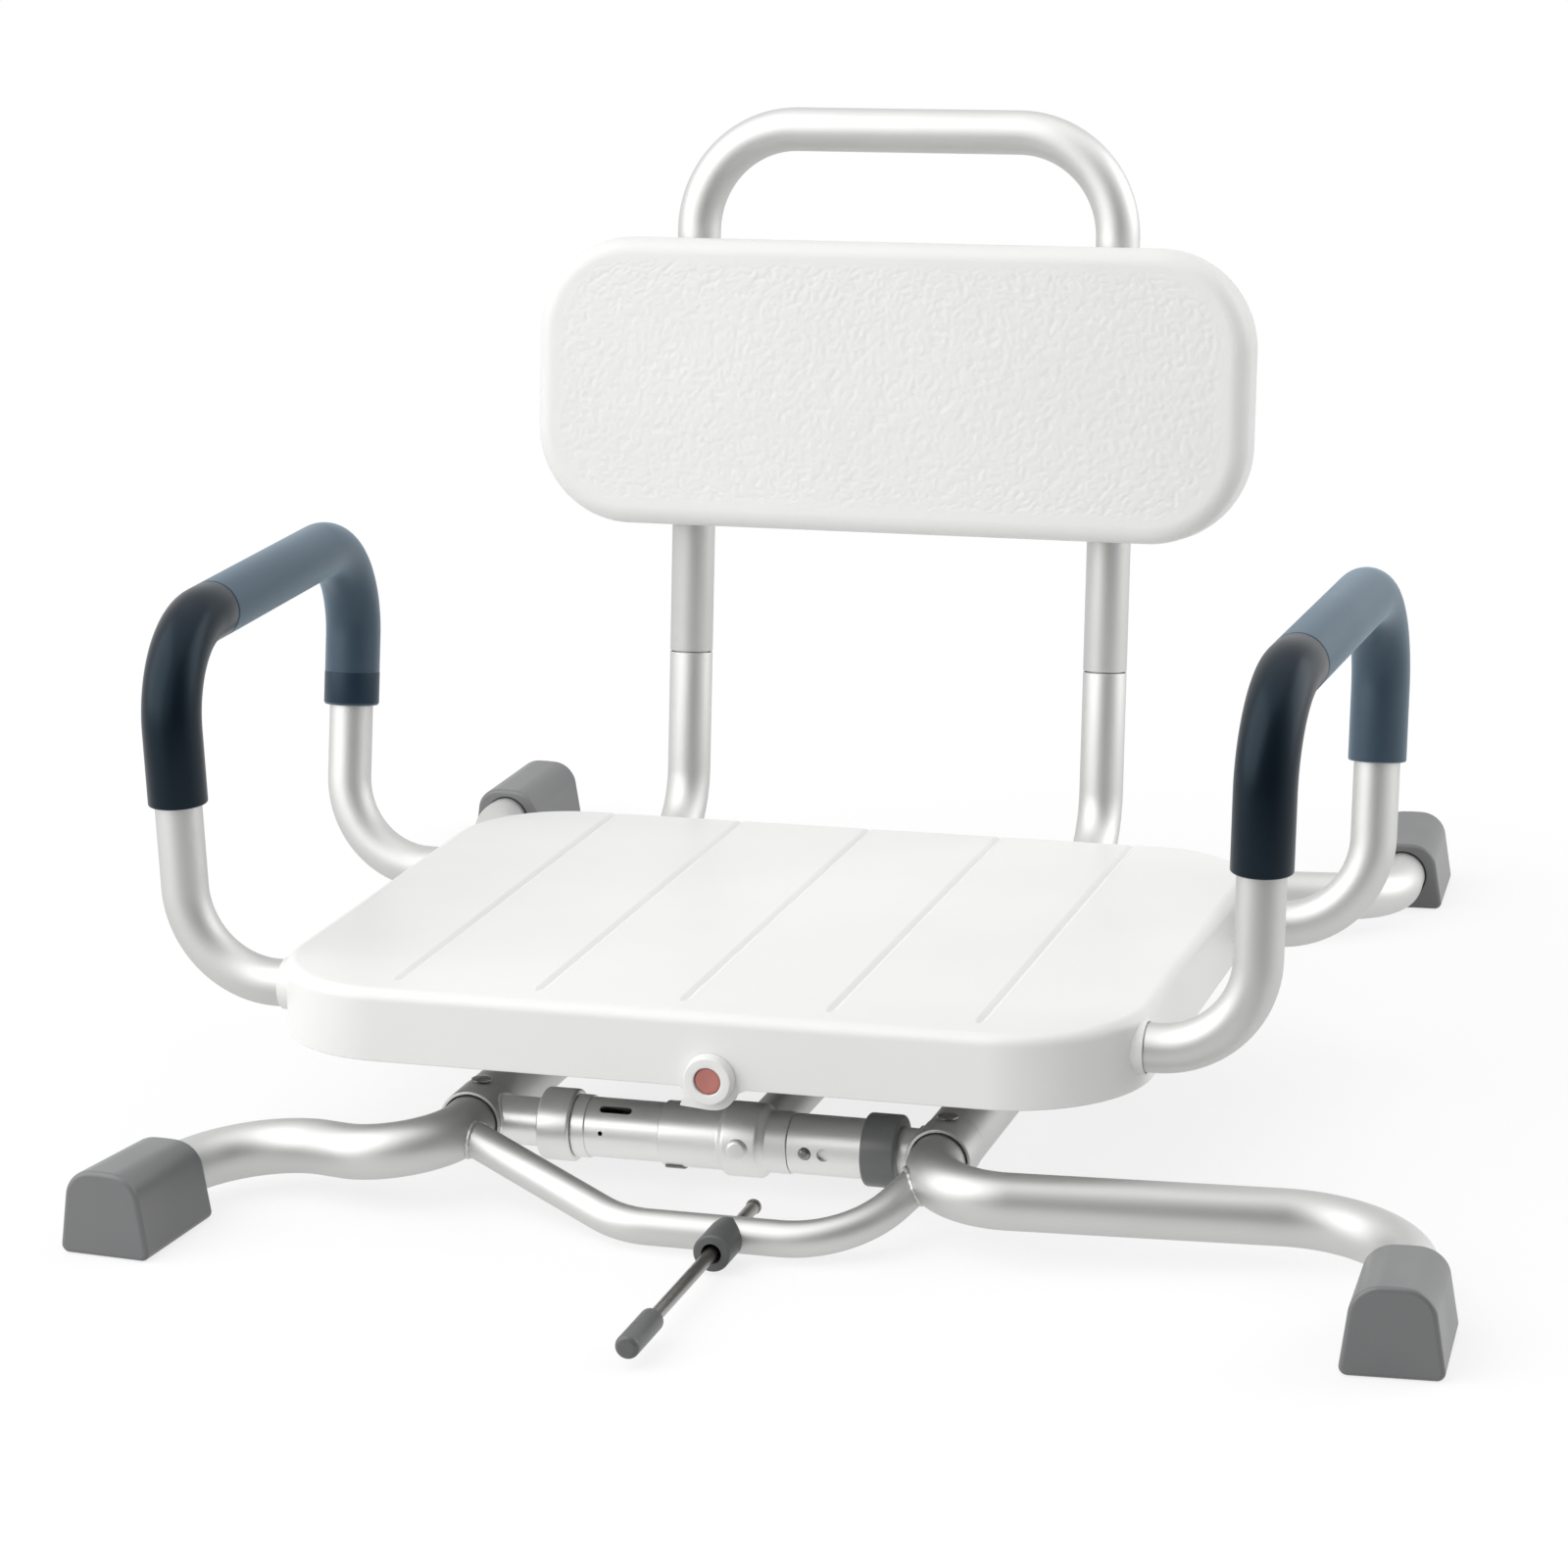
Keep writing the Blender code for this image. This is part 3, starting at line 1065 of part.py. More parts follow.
def place_in_frame(end, x, y, z):
    """A point of a leg frame, given for a frame that reaches out along +Y with its short leg at -X."""
    if end == "front":
        return Vector((x, -y, z))
    return Vector((-x, y, z))


def leg_corners(end, size):
    """The corners of one leg tube from its inner end to its foot, and the middle of the foot's face."""
    sign = -1 if size == "short" else 1
    reach = (FRONT_REACH if end == "front" else REAR_REACH)[size]
    toe = FOOT_TOE[end]
    level = FOOT_TUBE_Z[end]
    corner = Vector((sign * (reach - toe / 2), FOOT_TURN_Y[end][size], level))
    face = Vector((sign * (reach + toe / 2), FOOT_FACE_Y[end], level))
    tip = face.lerp(corner, (FOOT_LENGTH - FOOT_COVER) / (face - corner).length)
    points = [
        (sign * SLEEVE_HALF_GAP, MOUTH_Y - LEG_INSERT[end], SLEEVE_Z),
        (sign * SLEEVE_HALF_GAP, LEG_TURN_Y[end][size], SLEEVE_Z),
        corner, tip, face,
    ]
    return [place_in_frame(end, *point) for point in points]


def foot_outline(height):
    """Half-round-topped outline of a foot, wide and flat at the floor."""
    centre = height - FOOT_CROWN
    half = FOOT_WIDTH / 2
    edge = 0.0016
    side = [(half - edge, 0.0), (half, edge), (half - 0.0006, edge + 0.004)]
    crown = arc((0.0, centre), FOOT_CROWN, 12, 168, 10)
    other = [(-x, z) for x, z in reversed(side)]
    return side + crown + other


def foot_mesh(name):
    """A foot with its outer face at y = 0 and its body towards +Y."""
    bm = bmesh.new()
    edge = 0.0022
    sections = (
        (0.0, FOOT_HEIGHT - edge, 1.0 - edge / FOOT_WIDTH * 2), (edge, FOOT_HEIGHT, 1.0),
        (FOOT_LENGTH - edge, FOOT_HEIGHT_INNER, 1.0),
        (FOOT_LENGTH, FOOT_HEIGHT_INNER - edge, 1.0 - edge / FOOT_WIDTH * 2),
    )
    rings = []
    for y, height, width in sections:
        ring = []
        for x, z in foot_outline(height):
            ring.append(bm.verts.new((x * width, y, z)))
        rings.append(ring)
    count = len(rings[0])
    for first, second in zip(rings, rings[1:]):
        for index in range(count):
            after = (index + 1) % count
            bm.faces.new((first[index], first[after], second[after], second[index]))
    bm.faces.new(rings[0])
    bm.faces.new(list(reversed(rings[-1])))
    return mesh_from(name, bm)


def build_leg(end, size, metal, grey, parent):
    """One leg tube with its guide slot, and its foot."""
    on_left = (size == "short") == (end == "front")
    side = "left" if on_left else "right"
    *corners, face = leg_corners(end, size)
    route = rounded_route(corners, [LEG_BEND, FOOT_BEND[size]])
    leg = tube(f"{end}_{side}_leg", route, LEG_TUBE, LEG_WALL, LEG_SIDES, metal, parent)
    if end == "front":
        low, high = -GUIDE_SCREW_Y, -GUIDE_SCREW_Y + FRONT_TRAVEL
    else:
        low, high = GUIDE_SCREW_Y - REAR_TRAVEL_OUT, GUIDE_SCREW_Y + REAR_TRAVEL_IN
    half = GUIDE_SCREW + SCREW_GAP
    x = corners[0].x
    ends = (low - SLOT_SPARE, high + SLOT_SPARE)
    rounds = arc((x, ends[1]), half, 0, 180, 5) + arc((x, ends[0]), half, 180, 360, 5)
    slot = prism_mesh(f"{end}_{side}_slot", rounds, SLEEVE_Z, SLEEVE_Z + LEG_TUBE + 0.004)
    cut(leg, add_cutter(f"{end}_{side}_slot", slot, parent))
    foot = add_part(f"{end}_{side}_foot", foot_mesh(f"{end}_{side}_foot"), grey, parent, smooth=40.0)
    inward = corners[2] - face
    turn = math.atan2(-inward.x, inward.y)
    foot.location = (face.x, face.y, 0.0)
    foot.rotation_euler = (0.0, 0.0, turn)
    start = (0.0, FOOT_LENGTH - FOOT_COVER - SEAT_GAP, FOOT_TUBE_Z[end])
    socket = rod_mesh("socket", LEG_TUBE + SEAT_GAP, start, FOOT_COVER + 0.01, "y")
    socket = add_cutter(f"{end}_{side}_foot_bore", socket, parent)
    socket.location = foot.location
    socket.rotation_euler = foot.rotation_euler
    cut(foot, socket)
    return solid_route(f"{end}_{side}_leg_trim", route, LEG_TUBE + SEAT_GAP, LEG_SIDES, parent)


def build_frame(end, metal, grey, steel, parent):
    """One leg frame: two legs with feet, a spreader bar between them and its stop rod."""
    trims = [build_leg(end, size, metal, grey, parent) for size in ("short", "long")]
    low, high = BAR_CORNERS
    bar_y = BAR_Y[end]
    end_y = BAR_END_Y[end]
    corners = [
        place_in_frame(end, -SLEEVE_HALF_GAP, end_y, SLEEVE_Z), place_in_frame(end, low, bar_y, BAR_Z),
        place_in_frame(end, high, bar_y, BAR_Z), place_in_frame(end, SLEEVE_HALF_GAP, end_y, SLEEVE_Z),
    ]
    route = rounded_route(corners, [BAR_BEND] * 2)
    bar = tube(f"{end}_spreader", route, BAR_TUBE, BAR_WALL, BAR_SIDES, metal, parent)
    for trim in trims:
        cut(bar, trim)
    tangent = -1 if end == "front" else 1
    middle = place_in_frame(end, STOP_X, bar_y, BAR_Z)
    start = middle + Vector((0.0, -0.012, 0.0))
    hole = rod_mesh(f"{end}_rod_hole", STOP_ROD + STOP_GAP, start, 0.024, "y", 16)
    cut(bar, add_cutter(f"{end}_rod_hole", hole, parent))
    low_y = middle.y - STOP_COLLAR_OUT if tangent < 0 else middle.y
    place = (middle.x, low_y, middle.z)
    mesh = ring_mesh("collar", STOP_COLLAR, STOP_COLLAR_BORE, place, STOP_COLLAR_OUT, "y", 20)
    collar = add_part(f"{end}_stop_collar", mesh, grey, parent)
    start = (middle.x - 0.02, middle.y, middle.z)
    saddle = rod_mesh(f"{end}_saddle", BAR_TUBE + SEAT_GAP, start, 0.04, "x", BAR_SIDES * 2)
    cut(collar, add_cutter(f"{end}_saddle", saddle, parent))
    head = place_in_frame(end, STOP_X, STOP_TIP_Y[end] - STOP_LENGTH, BAR_Z)
    rod_length = STOP_LENGTH - STOP_CAP_LENGTH + STOP_CAP_COVER
    profile = [
        (0.0, 0.0), (STOP_HEAD, 0.0), (STOP_HEAD, 0.002), (STOP_ROD, 0.002), (STOP_ROD, rod_length),
        (0.0, rod_length),
    ]
    if tangent < 0:
        profile = [(radius, -height) for radius, height in profile]
    mesh = lathe_mesh(f"{end}_stop_rod", profile, head, "y", 14)
    add_part(f"{end}_stop_rod", mesh, steel, parent)
    tip = place_in_frame(end, STOP_X, STOP_TIP_Y[end], BAR_Z)
    depth = STOP_CAP_COVER + SEAT_GAP
    socket = STOP_ROD + SEAT_GAP
    back = STOP_CAP_LENGTH
    profile = [
        (0.0, 0.0), (STOP_CAP - 0.0016, 0.0), (STOP_CAP - 0.0004, 0.0006), (STOP_CAP, 0.0018),
        (STOP_CAP, back - 0.0008), (STOP_CAP - 0.0008, back), (socket, back), (socket, back - depth),
        (0.0, back - depth),
    ]
    if tangent > 0:
        profile = [(radius, -height) for radius, height in profile]
    mesh = lathe_mesh(f"{end}_stop_tip", profile, tip, "y", 16)
    add_part(f"{end}_stop_tip", mesh, grey, parent)


def main():
    """Builds every sub-part."""
    white = new_material("white_plastic", WHITE, 0.4)
    aluminium = new_material("satin_aluminium", (0.62, 0.63, 0.65), 0.32, 1.0)
    cast = new_material("cast_alloy", (0.58, 0.58, 0.59), 0.38, 1.0)
    steel = new_material("bright_steel", (0.55, 0.55, 0.56), 0.25, 1.0)
    grey = new_material("grey_plastic", GREY, 0.5)
    navy = new_material("dark_grip", NAVY, 0.7)
    blue = new_material("light_grip", STEEL_BLUE, 0.7)
    dark = new_material("dark_rubber", (0.05, 0.05, 0.055), 0.65)
    red = new_material("red_button", (0.62, 0.03, 0.07), 0.35)
    build_seat(white)
    for name, side in (("left", -1), ("right", 1)):
        build_arm(name, side, aluminium, navy, blue)
    build_posts(aluminium)
    build_backrest(aluminium, white, steel)
    build_turntable(steel, white, steel)
    build_catch(steel)
    build_button(white, red, steel)
    build_sleeves(aluminium, steel)
    build_cross_tubes(aluminium, cast, dark, steel)
    build_frame("front", aluminium, grey, steel, FRONT)
    build_frame("rear", aluminium, grey, steel, REAR)


main()
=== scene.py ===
"""Looks of a swivel bath seat: fine meshes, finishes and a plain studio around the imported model.

Metres, +Z up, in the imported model's own frame. Each sub-assembly is a class that holds its sizes,
builds its meshes and dresses them. Places come from the frame where it gives them.
"""
from __future__ import annotations

import json
import logging
import math
from dataclasses import dataclass
from enum import Enum
from typing import Any, Sequence

import bmesh
import bpy
from mathutils import Matrix, Quaternion, Vector, noise

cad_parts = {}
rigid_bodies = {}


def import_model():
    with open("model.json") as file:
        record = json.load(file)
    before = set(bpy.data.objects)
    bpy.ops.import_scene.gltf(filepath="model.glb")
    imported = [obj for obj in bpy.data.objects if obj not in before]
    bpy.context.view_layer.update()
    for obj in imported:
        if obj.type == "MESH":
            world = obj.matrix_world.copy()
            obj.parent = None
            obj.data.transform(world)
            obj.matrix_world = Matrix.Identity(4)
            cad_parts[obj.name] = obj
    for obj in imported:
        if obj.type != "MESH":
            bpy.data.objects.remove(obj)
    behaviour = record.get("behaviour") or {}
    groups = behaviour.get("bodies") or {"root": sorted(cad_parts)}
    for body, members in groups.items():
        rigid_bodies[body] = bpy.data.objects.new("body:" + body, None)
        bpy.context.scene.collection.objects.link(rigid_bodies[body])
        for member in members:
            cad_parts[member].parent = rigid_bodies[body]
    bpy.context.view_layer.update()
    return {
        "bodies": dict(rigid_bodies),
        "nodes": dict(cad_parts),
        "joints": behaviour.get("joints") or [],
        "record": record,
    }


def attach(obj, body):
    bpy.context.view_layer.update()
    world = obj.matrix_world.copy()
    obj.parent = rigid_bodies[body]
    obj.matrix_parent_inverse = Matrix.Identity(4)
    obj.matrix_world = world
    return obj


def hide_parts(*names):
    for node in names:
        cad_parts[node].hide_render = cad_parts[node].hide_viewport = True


LOG = logging.getLogger("bath_seat")

Colour = tuple[float, float, float]
Mesh = bpy.types.Mesh
Ring = tuple[float, float]

ALONG_X = (1.0, 0.0, 0.0)
ALONG_Y = (0.0, 1.0, 0.0)
ALONG_Z = (0.0, 0.0, 1.0)

# Places and sizes that more than one sub-assembly uses.
GAP = 0.0003
ARM_ENDS = ((-0.1455, 0.0875), (0.075, 0.0825))
POST_X, POST_Z = 0.1105, 0.085
BUTTON_PLACE = (0.0185, 0.0743)
SLEEVE_X, SLEEVE_Z, SLEEVE_MOUTH = 0.112, 0.030, 0.156

# The bend in radians under which a line counts as straight, the distance under which places count
# as one, and the radius under which a ring is a single point.
STRAIGHT, TOUCH, POINTED = 0.001, 1e-7, 1e-6

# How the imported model's own nodes are smoothed.
NODE_WELD, NODE_CREASE = 0.00001, 32.0


class Nodes:
    """Adds nodes to a shader node tree."""

    def __init__(self, tree: bpy.types.NodeTree) -> None:
        """Keeps the tree.

        Args:
            tree: The tree to add to.
        """
        self.tree = tree

    def feed(self, node: bpy.types.Node, values: dict[str | int, Any]) -> None:
        """Links or sets the inputs of a node.

        Args:
            node: The node.
            values: For an input's name or number, the socket to link to it or the value to set. A
                triple sets a colour.
        """
        for key, value in values.items():
            if isinstance(value, bpy.types.NodeSocket):
                self.tree.links.new(value, node.inputs[key])
            else:
                node.inputs[key].default_value = (*value, 1.0) if isinstance(value, tuple) else value

    def add(
        self, kind: str, values: dict[str | int, Any] | None = None, **settings: Any,
    ) -> bpy.types.Node:
        """Adds one node.

        Args:
            kind: The node's type.
            values: What its inputs get, as for feed().
            settings: Its own properties, set before its inputs.

        Returns:
            The new node.
        """
        node = self.tree.nodes.new(kind)
        for label, value in settings.items():
            setattr(node, label, value)
        self.feed(node, values or {})
        return node

    def product(
        self, first: bpy.types.NodeSocket, second: bpy.types.NodeSocket,
    ) -> bpy.types.NodeSocket:
        """Two values multiplied."""
        return self.add("ShaderNodeMath", {0: first, 1: second}, operation="MULTIPLY").outputs["Value"]


class NodeGroups:
    """Shader node groups that several materials share, each built once."""

    def __init__(self) -> None:
        """Builds every group."""
        self.drift = self._drift()
        self.grain = self._grain()

    @staticmethod
    def _new(name: str, inputs: dict[str, float | Colour], outputs: dict[str, str]) -> Nodes:
        """Makes an empty group with named sockets.

        Args:
            name: Name of the group.
            inputs: Name and default of each input. A triple makes a colour socket.
            outputs: Name and socket type of each output.

        Returns:
            The group's tree, to add nodes to.
        """
        tree = bpy.data.node_groups.new(name, "ShaderNodeTree")
        for label, value in inputs.items():
            kind = "NodeSocketColor" if isinstance(value, tuple) else "NodeSocketFloat"
            socket = tree.interface.new_socket(label, in_out="INPUT", socket_type=kind)
            socket.default_value = (*value, 1.0) if isinstance(value, tuple) else value
        for label, kind in outputs.items():
            tree.interface.new_socket(label, in_out="OUTPUT", socket_type=kind)
        return Nodes(tree)

    def _drift(self) -> bpy.types.NodeTree:
        """Slow, faint changes of colour and gloss over a moulding or a tube.

        Returns:
            The group, with a colour and a roughness as outputs.
        """
        nodes = self._new(
            "surface_drift",
            {"Scale": 12.0, "Colour": (0.8, 0.8, 0.8), "Shade": (0.7, 0.7, 0.7),
             "Gloss Low": 0.3, "Gloss High": 0.4},
            {"Colour": "NodeSocketColor", "Roughness": "NodeSocketFloat"},
        )
        source = nodes.add("NodeGroupInput").outputs
        place = nodes.add("ShaderNodeTexCoord").outputs["Object"]
        cloud = nodes.add("ShaderNodeTexNoise", {
            "Detail": 3.0, "Vector": place, "Scale": source["Scale"]}).outputs["Fac"]
        spread = nodes.add("ShaderNodeMapRange", {"From Min": 0.35, "From Max": 0.65, "Value": cloud})
        mix = nodes.add("ShaderNodeMix", {
            "Factor": spread.outputs["Result"], "A": source["Colour"], "B": source["Shade"]},
            data_type="RGBA")
        gloss = nodes.add("ShaderNodeMapRange", {
            "From Min": 0.3, "From Max": 0.7, "Value": cloud,
            "To Min": source["Gloss Low"], "To Max": source["Gloss High"]})
        nodes.add("NodeGroupOutput", {
            "Colour": mix.outputs["Result"], "Roughness": gloss.outputs["Result"]})
        return nodes.tree

    def _grain(self) -> bpy.types.NodeTree:
        """A fine pebbled surface.

        Returns:
            The group, with a height for a Bump node as output.
        """
        nodes = self._new(
            "fine_grain", {"Scale": 900.0, "Coarse Scale": 90.0, "Coarse Share": 0.3},
            {"Height": "NodeSocketFloat"},
        )
        source = nodes.add("NodeGroupInput").outputs
        place = nodes.add("ShaderNodeTexCoord").outputs["Object"]
        fine, coarse = (
            nodes.add("ShaderNodeTexNoise", {"Detail": 2.0, "Vector": place, "Scale": source[label]})
            for label in ("Scale", "Coarse Scale")
        )
        mix = nodes.add("ShaderNodeMix", {
            "Factor": source["Coarse Share"], "A": fine.outputs["Fac"], "B": coarse.outputs["Fac"]})
        nodes.add("NodeGroupOutput", {"Height": mix.outputs["Result"]})
        return nodes.tree


@dataclass(frozen=True)
class Grain:
    """A fine bump: scale and depth of its pebbles, and scale and share of the coarser ones."""

    scale: float
    depth: float
    coarse: float = 90.0
    share: float = 0.3


class Texture(Enum):
    """How the surface of a finish is worked."""

    SATIN = Grain(2600.0, 0.000006, 240.0, 0.2)
    CAST = Grain(1300.0, 0.000012, 160.0, 0.4)
    MOULDED = Grain(700.0, 0.00003, 120.0, 0.5)
    SMOOTH = Grain(900.0, 0.00002)
    FOAM = Grain(1400.0, 0.00001)
    RUBBER = Grain(1100.0, 0.00001)
    PLATED = Grain(1500.0, 0.00001)
    BRIGHT = Grain(1800.0, 0.000008)


@dataclass(frozen=True)
class Finish:
    """One finish of the object, made into a Principled material.

    The colour drifts between colour and shade, and the roughness between the two values of gloss.
    """

    name: str
    colour: Colour
    shade: Colour
    gloss: tuple[float, float]
    texture: Texture
    metallic: float = 0.0
    specular: float = 0.5
    edge: Colour = (1.0, 1.0, 1.0)
    sheen: float = 0.0
    sheen_tint: Colour = (1.0, 1.0, 1.0)
    drift_scale: float = 12.0

    def build(self, groups: NodeGroups) -> bpy.types.Material:
        """Makes the material.

        Args:
            groups: The shared node groups.

        Returns:
            The new material.
        """
        material = bpy.data.materials.new(self.name)
        material.use_nodes = True
        nodes = Nodes(material.node_tree)
        low, high = self.gloss
        drift = nodes.add("ShaderNodeGroup", {
            "Scale": self.drift_scale, "Colour": self.colour, "Shade": self.shade,
            "Gloss Low": low, "Gloss High": high}, node_tree=groups.drift)
        worked = self.texture.value
        grain = nodes.add("ShaderNodeGroup", {
            "Scale": worked.scale, "Coarse Scale": worked.coarse, "Coarse Share": worked.share},
            node_tree=groups.grain)
        bump = nodes.add("ShaderNodeBump", {
            "Strength": 1.0, "Distance": worked.depth, "Height": grain.outputs["Height"]})
        nodes.feed(material.node_tree.nodes["Principled BSDF"], {
            "Base Color": drift.outputs["Colour"], "Roughness": drift.outputs["Roughness"],
            "Normal": bump.outputs["Normal"], "Metallic": self.metallic,
            "Specular IOR Level": self.specular, "Specular Tint": self.edge,
            "Sheen Weight": self.sheen, "Sheen Tint": self.sheen_tint})
        return material


METAL_EDGE = (0.85, 0.85, 0.85)


class Look(Enum):
    """The finishes: one for each slot of the record, and three for single pieces."""

    SATIN_TUBE = Finish(
        "satin_aluminium", (0.62, 0.62, 0.613), (0.59, 0.59, 0.582), (0.50, 0.56), Texture.SATIN,
        metallic=1.0, edge=METAL_EDGE)
    CAST_ALLOY = Finish(
        "cast_alloy", (0.82, 0.82, 0.81), (0.77, 0.77, 0.76), (0.42, 0.50), Texture.CAST,
        metallic=1.0, edge=METAL_EDGE)
    # The satin aluminium again with a lighter colour: painted light that lifts the front cross tubes
    # out of the seat's shadow.
    CROSS_TUBE = Finish(
        "washed_aluminium", (0.84, 0.84, 0.83), (0.80, 0.80, 0.79), (0.42, 0.48), Texture.SATIN,
        metallic=1.0, edge=METAL_EDGE)
    # The white moulding made darker for the backrest panel: painted shade for its upright face, which
    # takes less light than the deck.
    PANEL_MOULDING = Finish(
        "panel_moulding", (0.850, 0.848, 0.838), (0.838, 0.836, 0.824), (0.38, 0.46), Texture.MOULDED)
    WHITE_MOULDING = Finish(
        "white_moulding", (0.905, 0.903, 0.893), (0.89, 0.888, 0.875), (0.34, 0.42), Texture.MOULDED)
    GLIDE = Finish(
        "glide_white", (0.80, 0.80, 0.78), (0.76, 0.76, 0.74), (0.30, 0.36), Texture.SMOOTH)
    DARK_GRIP = Finish(
        "dark_foam", (0.0025, 0.0068, 0.0118), (0.0030, 0.0076, 0.0130), (0.31, 0.37), Texture.FOAM,
        specular=0.26, edge=(0.60, 0.82, 1.0), sheen=0.01)
    LIGHT_GRIP = Finish(
        "light_foam", (0.027, 0.052, 0.077), (0.024, 0.047, 0.070), (0.42, 0.50), Texture.FOAM,
        edge=(0.75, 0.88, 1.0), sheen=0.55, sheen_tint=(0.66, 0.85, 1.0))
    BAND = Finish(
        "grip_band", (0.011, 0.024, 0.040), (0.012, 0.026, 0.043), (0.40, 0.46), Texture.FOAM,
        specular=0.3, edge=(0.65, 0.85, 1.0), sheen=0.15, sheen_tint=(0.66, 0.85, 1.0))
    GREY_MOULDING = Finish(
        "grey_rubber", (0.190, 0.192, 0.195), (0.175, 0.178, 0.182), (0.30, 0.38), Texture.RUBBER)
    DARK_MOULDING = Finish(
        "dark_rubber", (0.125, 0.127, 0.130), (0.110, 0.112, 0.115), (0.34, 0.42), Texture.RUBBER)
    PLATE_STEEL = Finish(
        "plate_grey", (0.42, 0.42, 0.41), (0.37, 0.37, 0.36), (0.38, 0.50), Texture.PLATED,
        metallic=1.0)
    BRIGHT_STEEL = Finish(
        "bright_steel", (0.36, 0.355, 0.345), (0.28, 0.268, 0.252), (0.22, 0.32), Texture.BRIGHT,
        metallic=1.0)
    RED_BUTTON = Finish(
        "red_button", (0.53, 0.20, 0.17), (0.50, 0.18, 0.155), (0.40, 0.48), Texture.SMOOTH)


class Finishes:
    """The object's materials, one for each look."""

    def __init__(self) -> None:
        """Builds every material once."""
        groups = NodeGroups()
        self.materials = {look: look.value.build(groups) for look in Look}

    def dress(self, obj: bpy.types.Object, slot: str, look: Look | None = None) -> None:
        """Gives an object one material and names its slot.

        Args:
            obj: The piece.
            slot: The record's slot name.
            look: A look of its own, in place of its slot's.
        """
        obj.data.materials.clear()
        obj.data.materials.append(self.materials[look or Look[slot.upper()]])


def dress_frame(frame: dict, finishes: Finishes) -> None:
    """Gives every node of the frame its finish and smooth shading on its round faces.

    Args:
        finishes: The object's materials.
    """
    slots = {part["node"]: part["material_slot"] for part in frame["record"]["subparts"]}
    for name, node in frame["nodes"].items():
        finishes.dress(node, slots[name])
        for polygon in node.data.polygons:
            polygon.use_smooth = True
        weld = node.modifiers.new("weld", "WELD")
        weld.merge_threshold = NODE_WELD
        split = node.modifiers.new("creases", "EDGE_SPLIT")
        split.split_angle = math.radians(NODE_CREASE)


class Side(Enum):
    """The two sides of the seat, seen from the front."""

    LEFT = -1
    RIGHT = 1

    @property
    def word(self) -> str:
        """The side as it stands in node names."""
        return self.name.lower()


class End(Enum):
    """The two ends of the base."""

    FRONT = "front"
    REAR = "rear"

    def place(self, x: float, y: float, z: float) -> Vector:
        """Places a point of a leg frame that is given as if it reached out along +Y.

        Args:
            x: Across, towards the long leg.
            y: Out from the axis.
            z: Height.

        Returns:
            The point, from the swivel axis.
        """
        if self is End.FRONT:
            return Vector((x, -y, z))
        return Vector((-x, y, z))


class Carve(Enum):
    """What a shape does to the mesh that it works on."""

    JOIN = "UNION"
    CUT = "DIFFERENCE"
    TRIM = "INTERSECT"


class Axis(Enum):
    """An axis to draw an outline out along, as the order of a point's across, up and along."""

    X = (2, 0, 1)
    Y = (0, 2, 1)
    Z = (0, 1, 2)


def eased(share: float) -> float:
    """A share from 0 to 1 that starts and ends softly."""
    return share * share * (3.0 - 2.0 * share)


def skin(
    bm: bmesh.types.BMesh, first: Sequence[bmesh.types.BMVert], second: Sequence[bmesh.types.BMVert],
) -> None:
    """Joins two loops of the same number of points with faces.

    Args:
        bm: The bmesh to add to.
        first: The first loop.
        second: The second loop.
    """
    for index, vert in enumerate(first):
        after = (index + 1) % len(first)
        bm.faces.new((vert, first[after], second[after], second[index]))


def finished_mesh(name: str, bm: bmesh.types.BMesh) -> Mesh:
    """Writes a bmesh to a new mesh with its faces pointing out.

    Args:
        name: Name of the mesh.
        bm: The bmesh, which is freed.

    Returns:
        The new mesh.
    """
    bmesh.ops.recalc_face_normals(bm, faces=bm.faces)
    mesh = bpy.data.meshes.new(name)
    bm.to_mesh(mesh)
    bm.free()
    return mesh


def bent_route(
    corners: Sequence[Sequence[float]], radii: Sequence[float], step: float = 4.0,
) -> list[Vector]:
    """The points of a bent line: straight runs with an arc in place of each inner corner.

    Args:
        corners: The corners of the line.
        radii: The bend radius at each inner corner.
        step: Degrees of arc between points.

    Returns:
        The points in order.
    """
    points = [Vector(corners[0])]
    for before, corner, after, radius in zip(corners, corners[1:], corners[2:], radii):
        turn = Vector(corner)
        back = (Vector(before) - turn).normalized()
        on = (Vector(after) - turn).normalized()
        half = (math.pi - back.angle(on)) / 2
        if radius <= 0.0 or half < STRAIGHT:
            points.append(turn)
            continue
        reach = radius * math.tan(half)
        middle = turn + (back + on).normalized() * (radius / math.cos(half))
        first = (turn + back * reach - middle).normalized()
        last = (turn + on * reach - middle).normalized()
        count = max(2, math.ceil(math.degrees(half * 2) / step))
        points += [middle + first.slerp(last, index / count) * radius for index in range(count + 1)]
    points.append(Vector(corners[-1]))
    return points


def rounded_profile(
    corners: Sequence[Ring], radius: float | Sequence[float], step: float = 30.0,
) -> list[Ring]:
    """A flat line of corners, such as (distance along, radius), with its inner corners rounded.

    Args:
        corners: The line's corners.
        radius: One radius for all inner corners, or one for each.
        step: Degrees of arc between points.

    Returns:
        The line's points.
    """
    radii = [radius] * (len(corners) - 2) if isinstance(radius, float) else radius
    points = bent_route([(along, out, 0.0) for along, out in corners], radii, step)
    return [(point.x, point.y) for point in points]


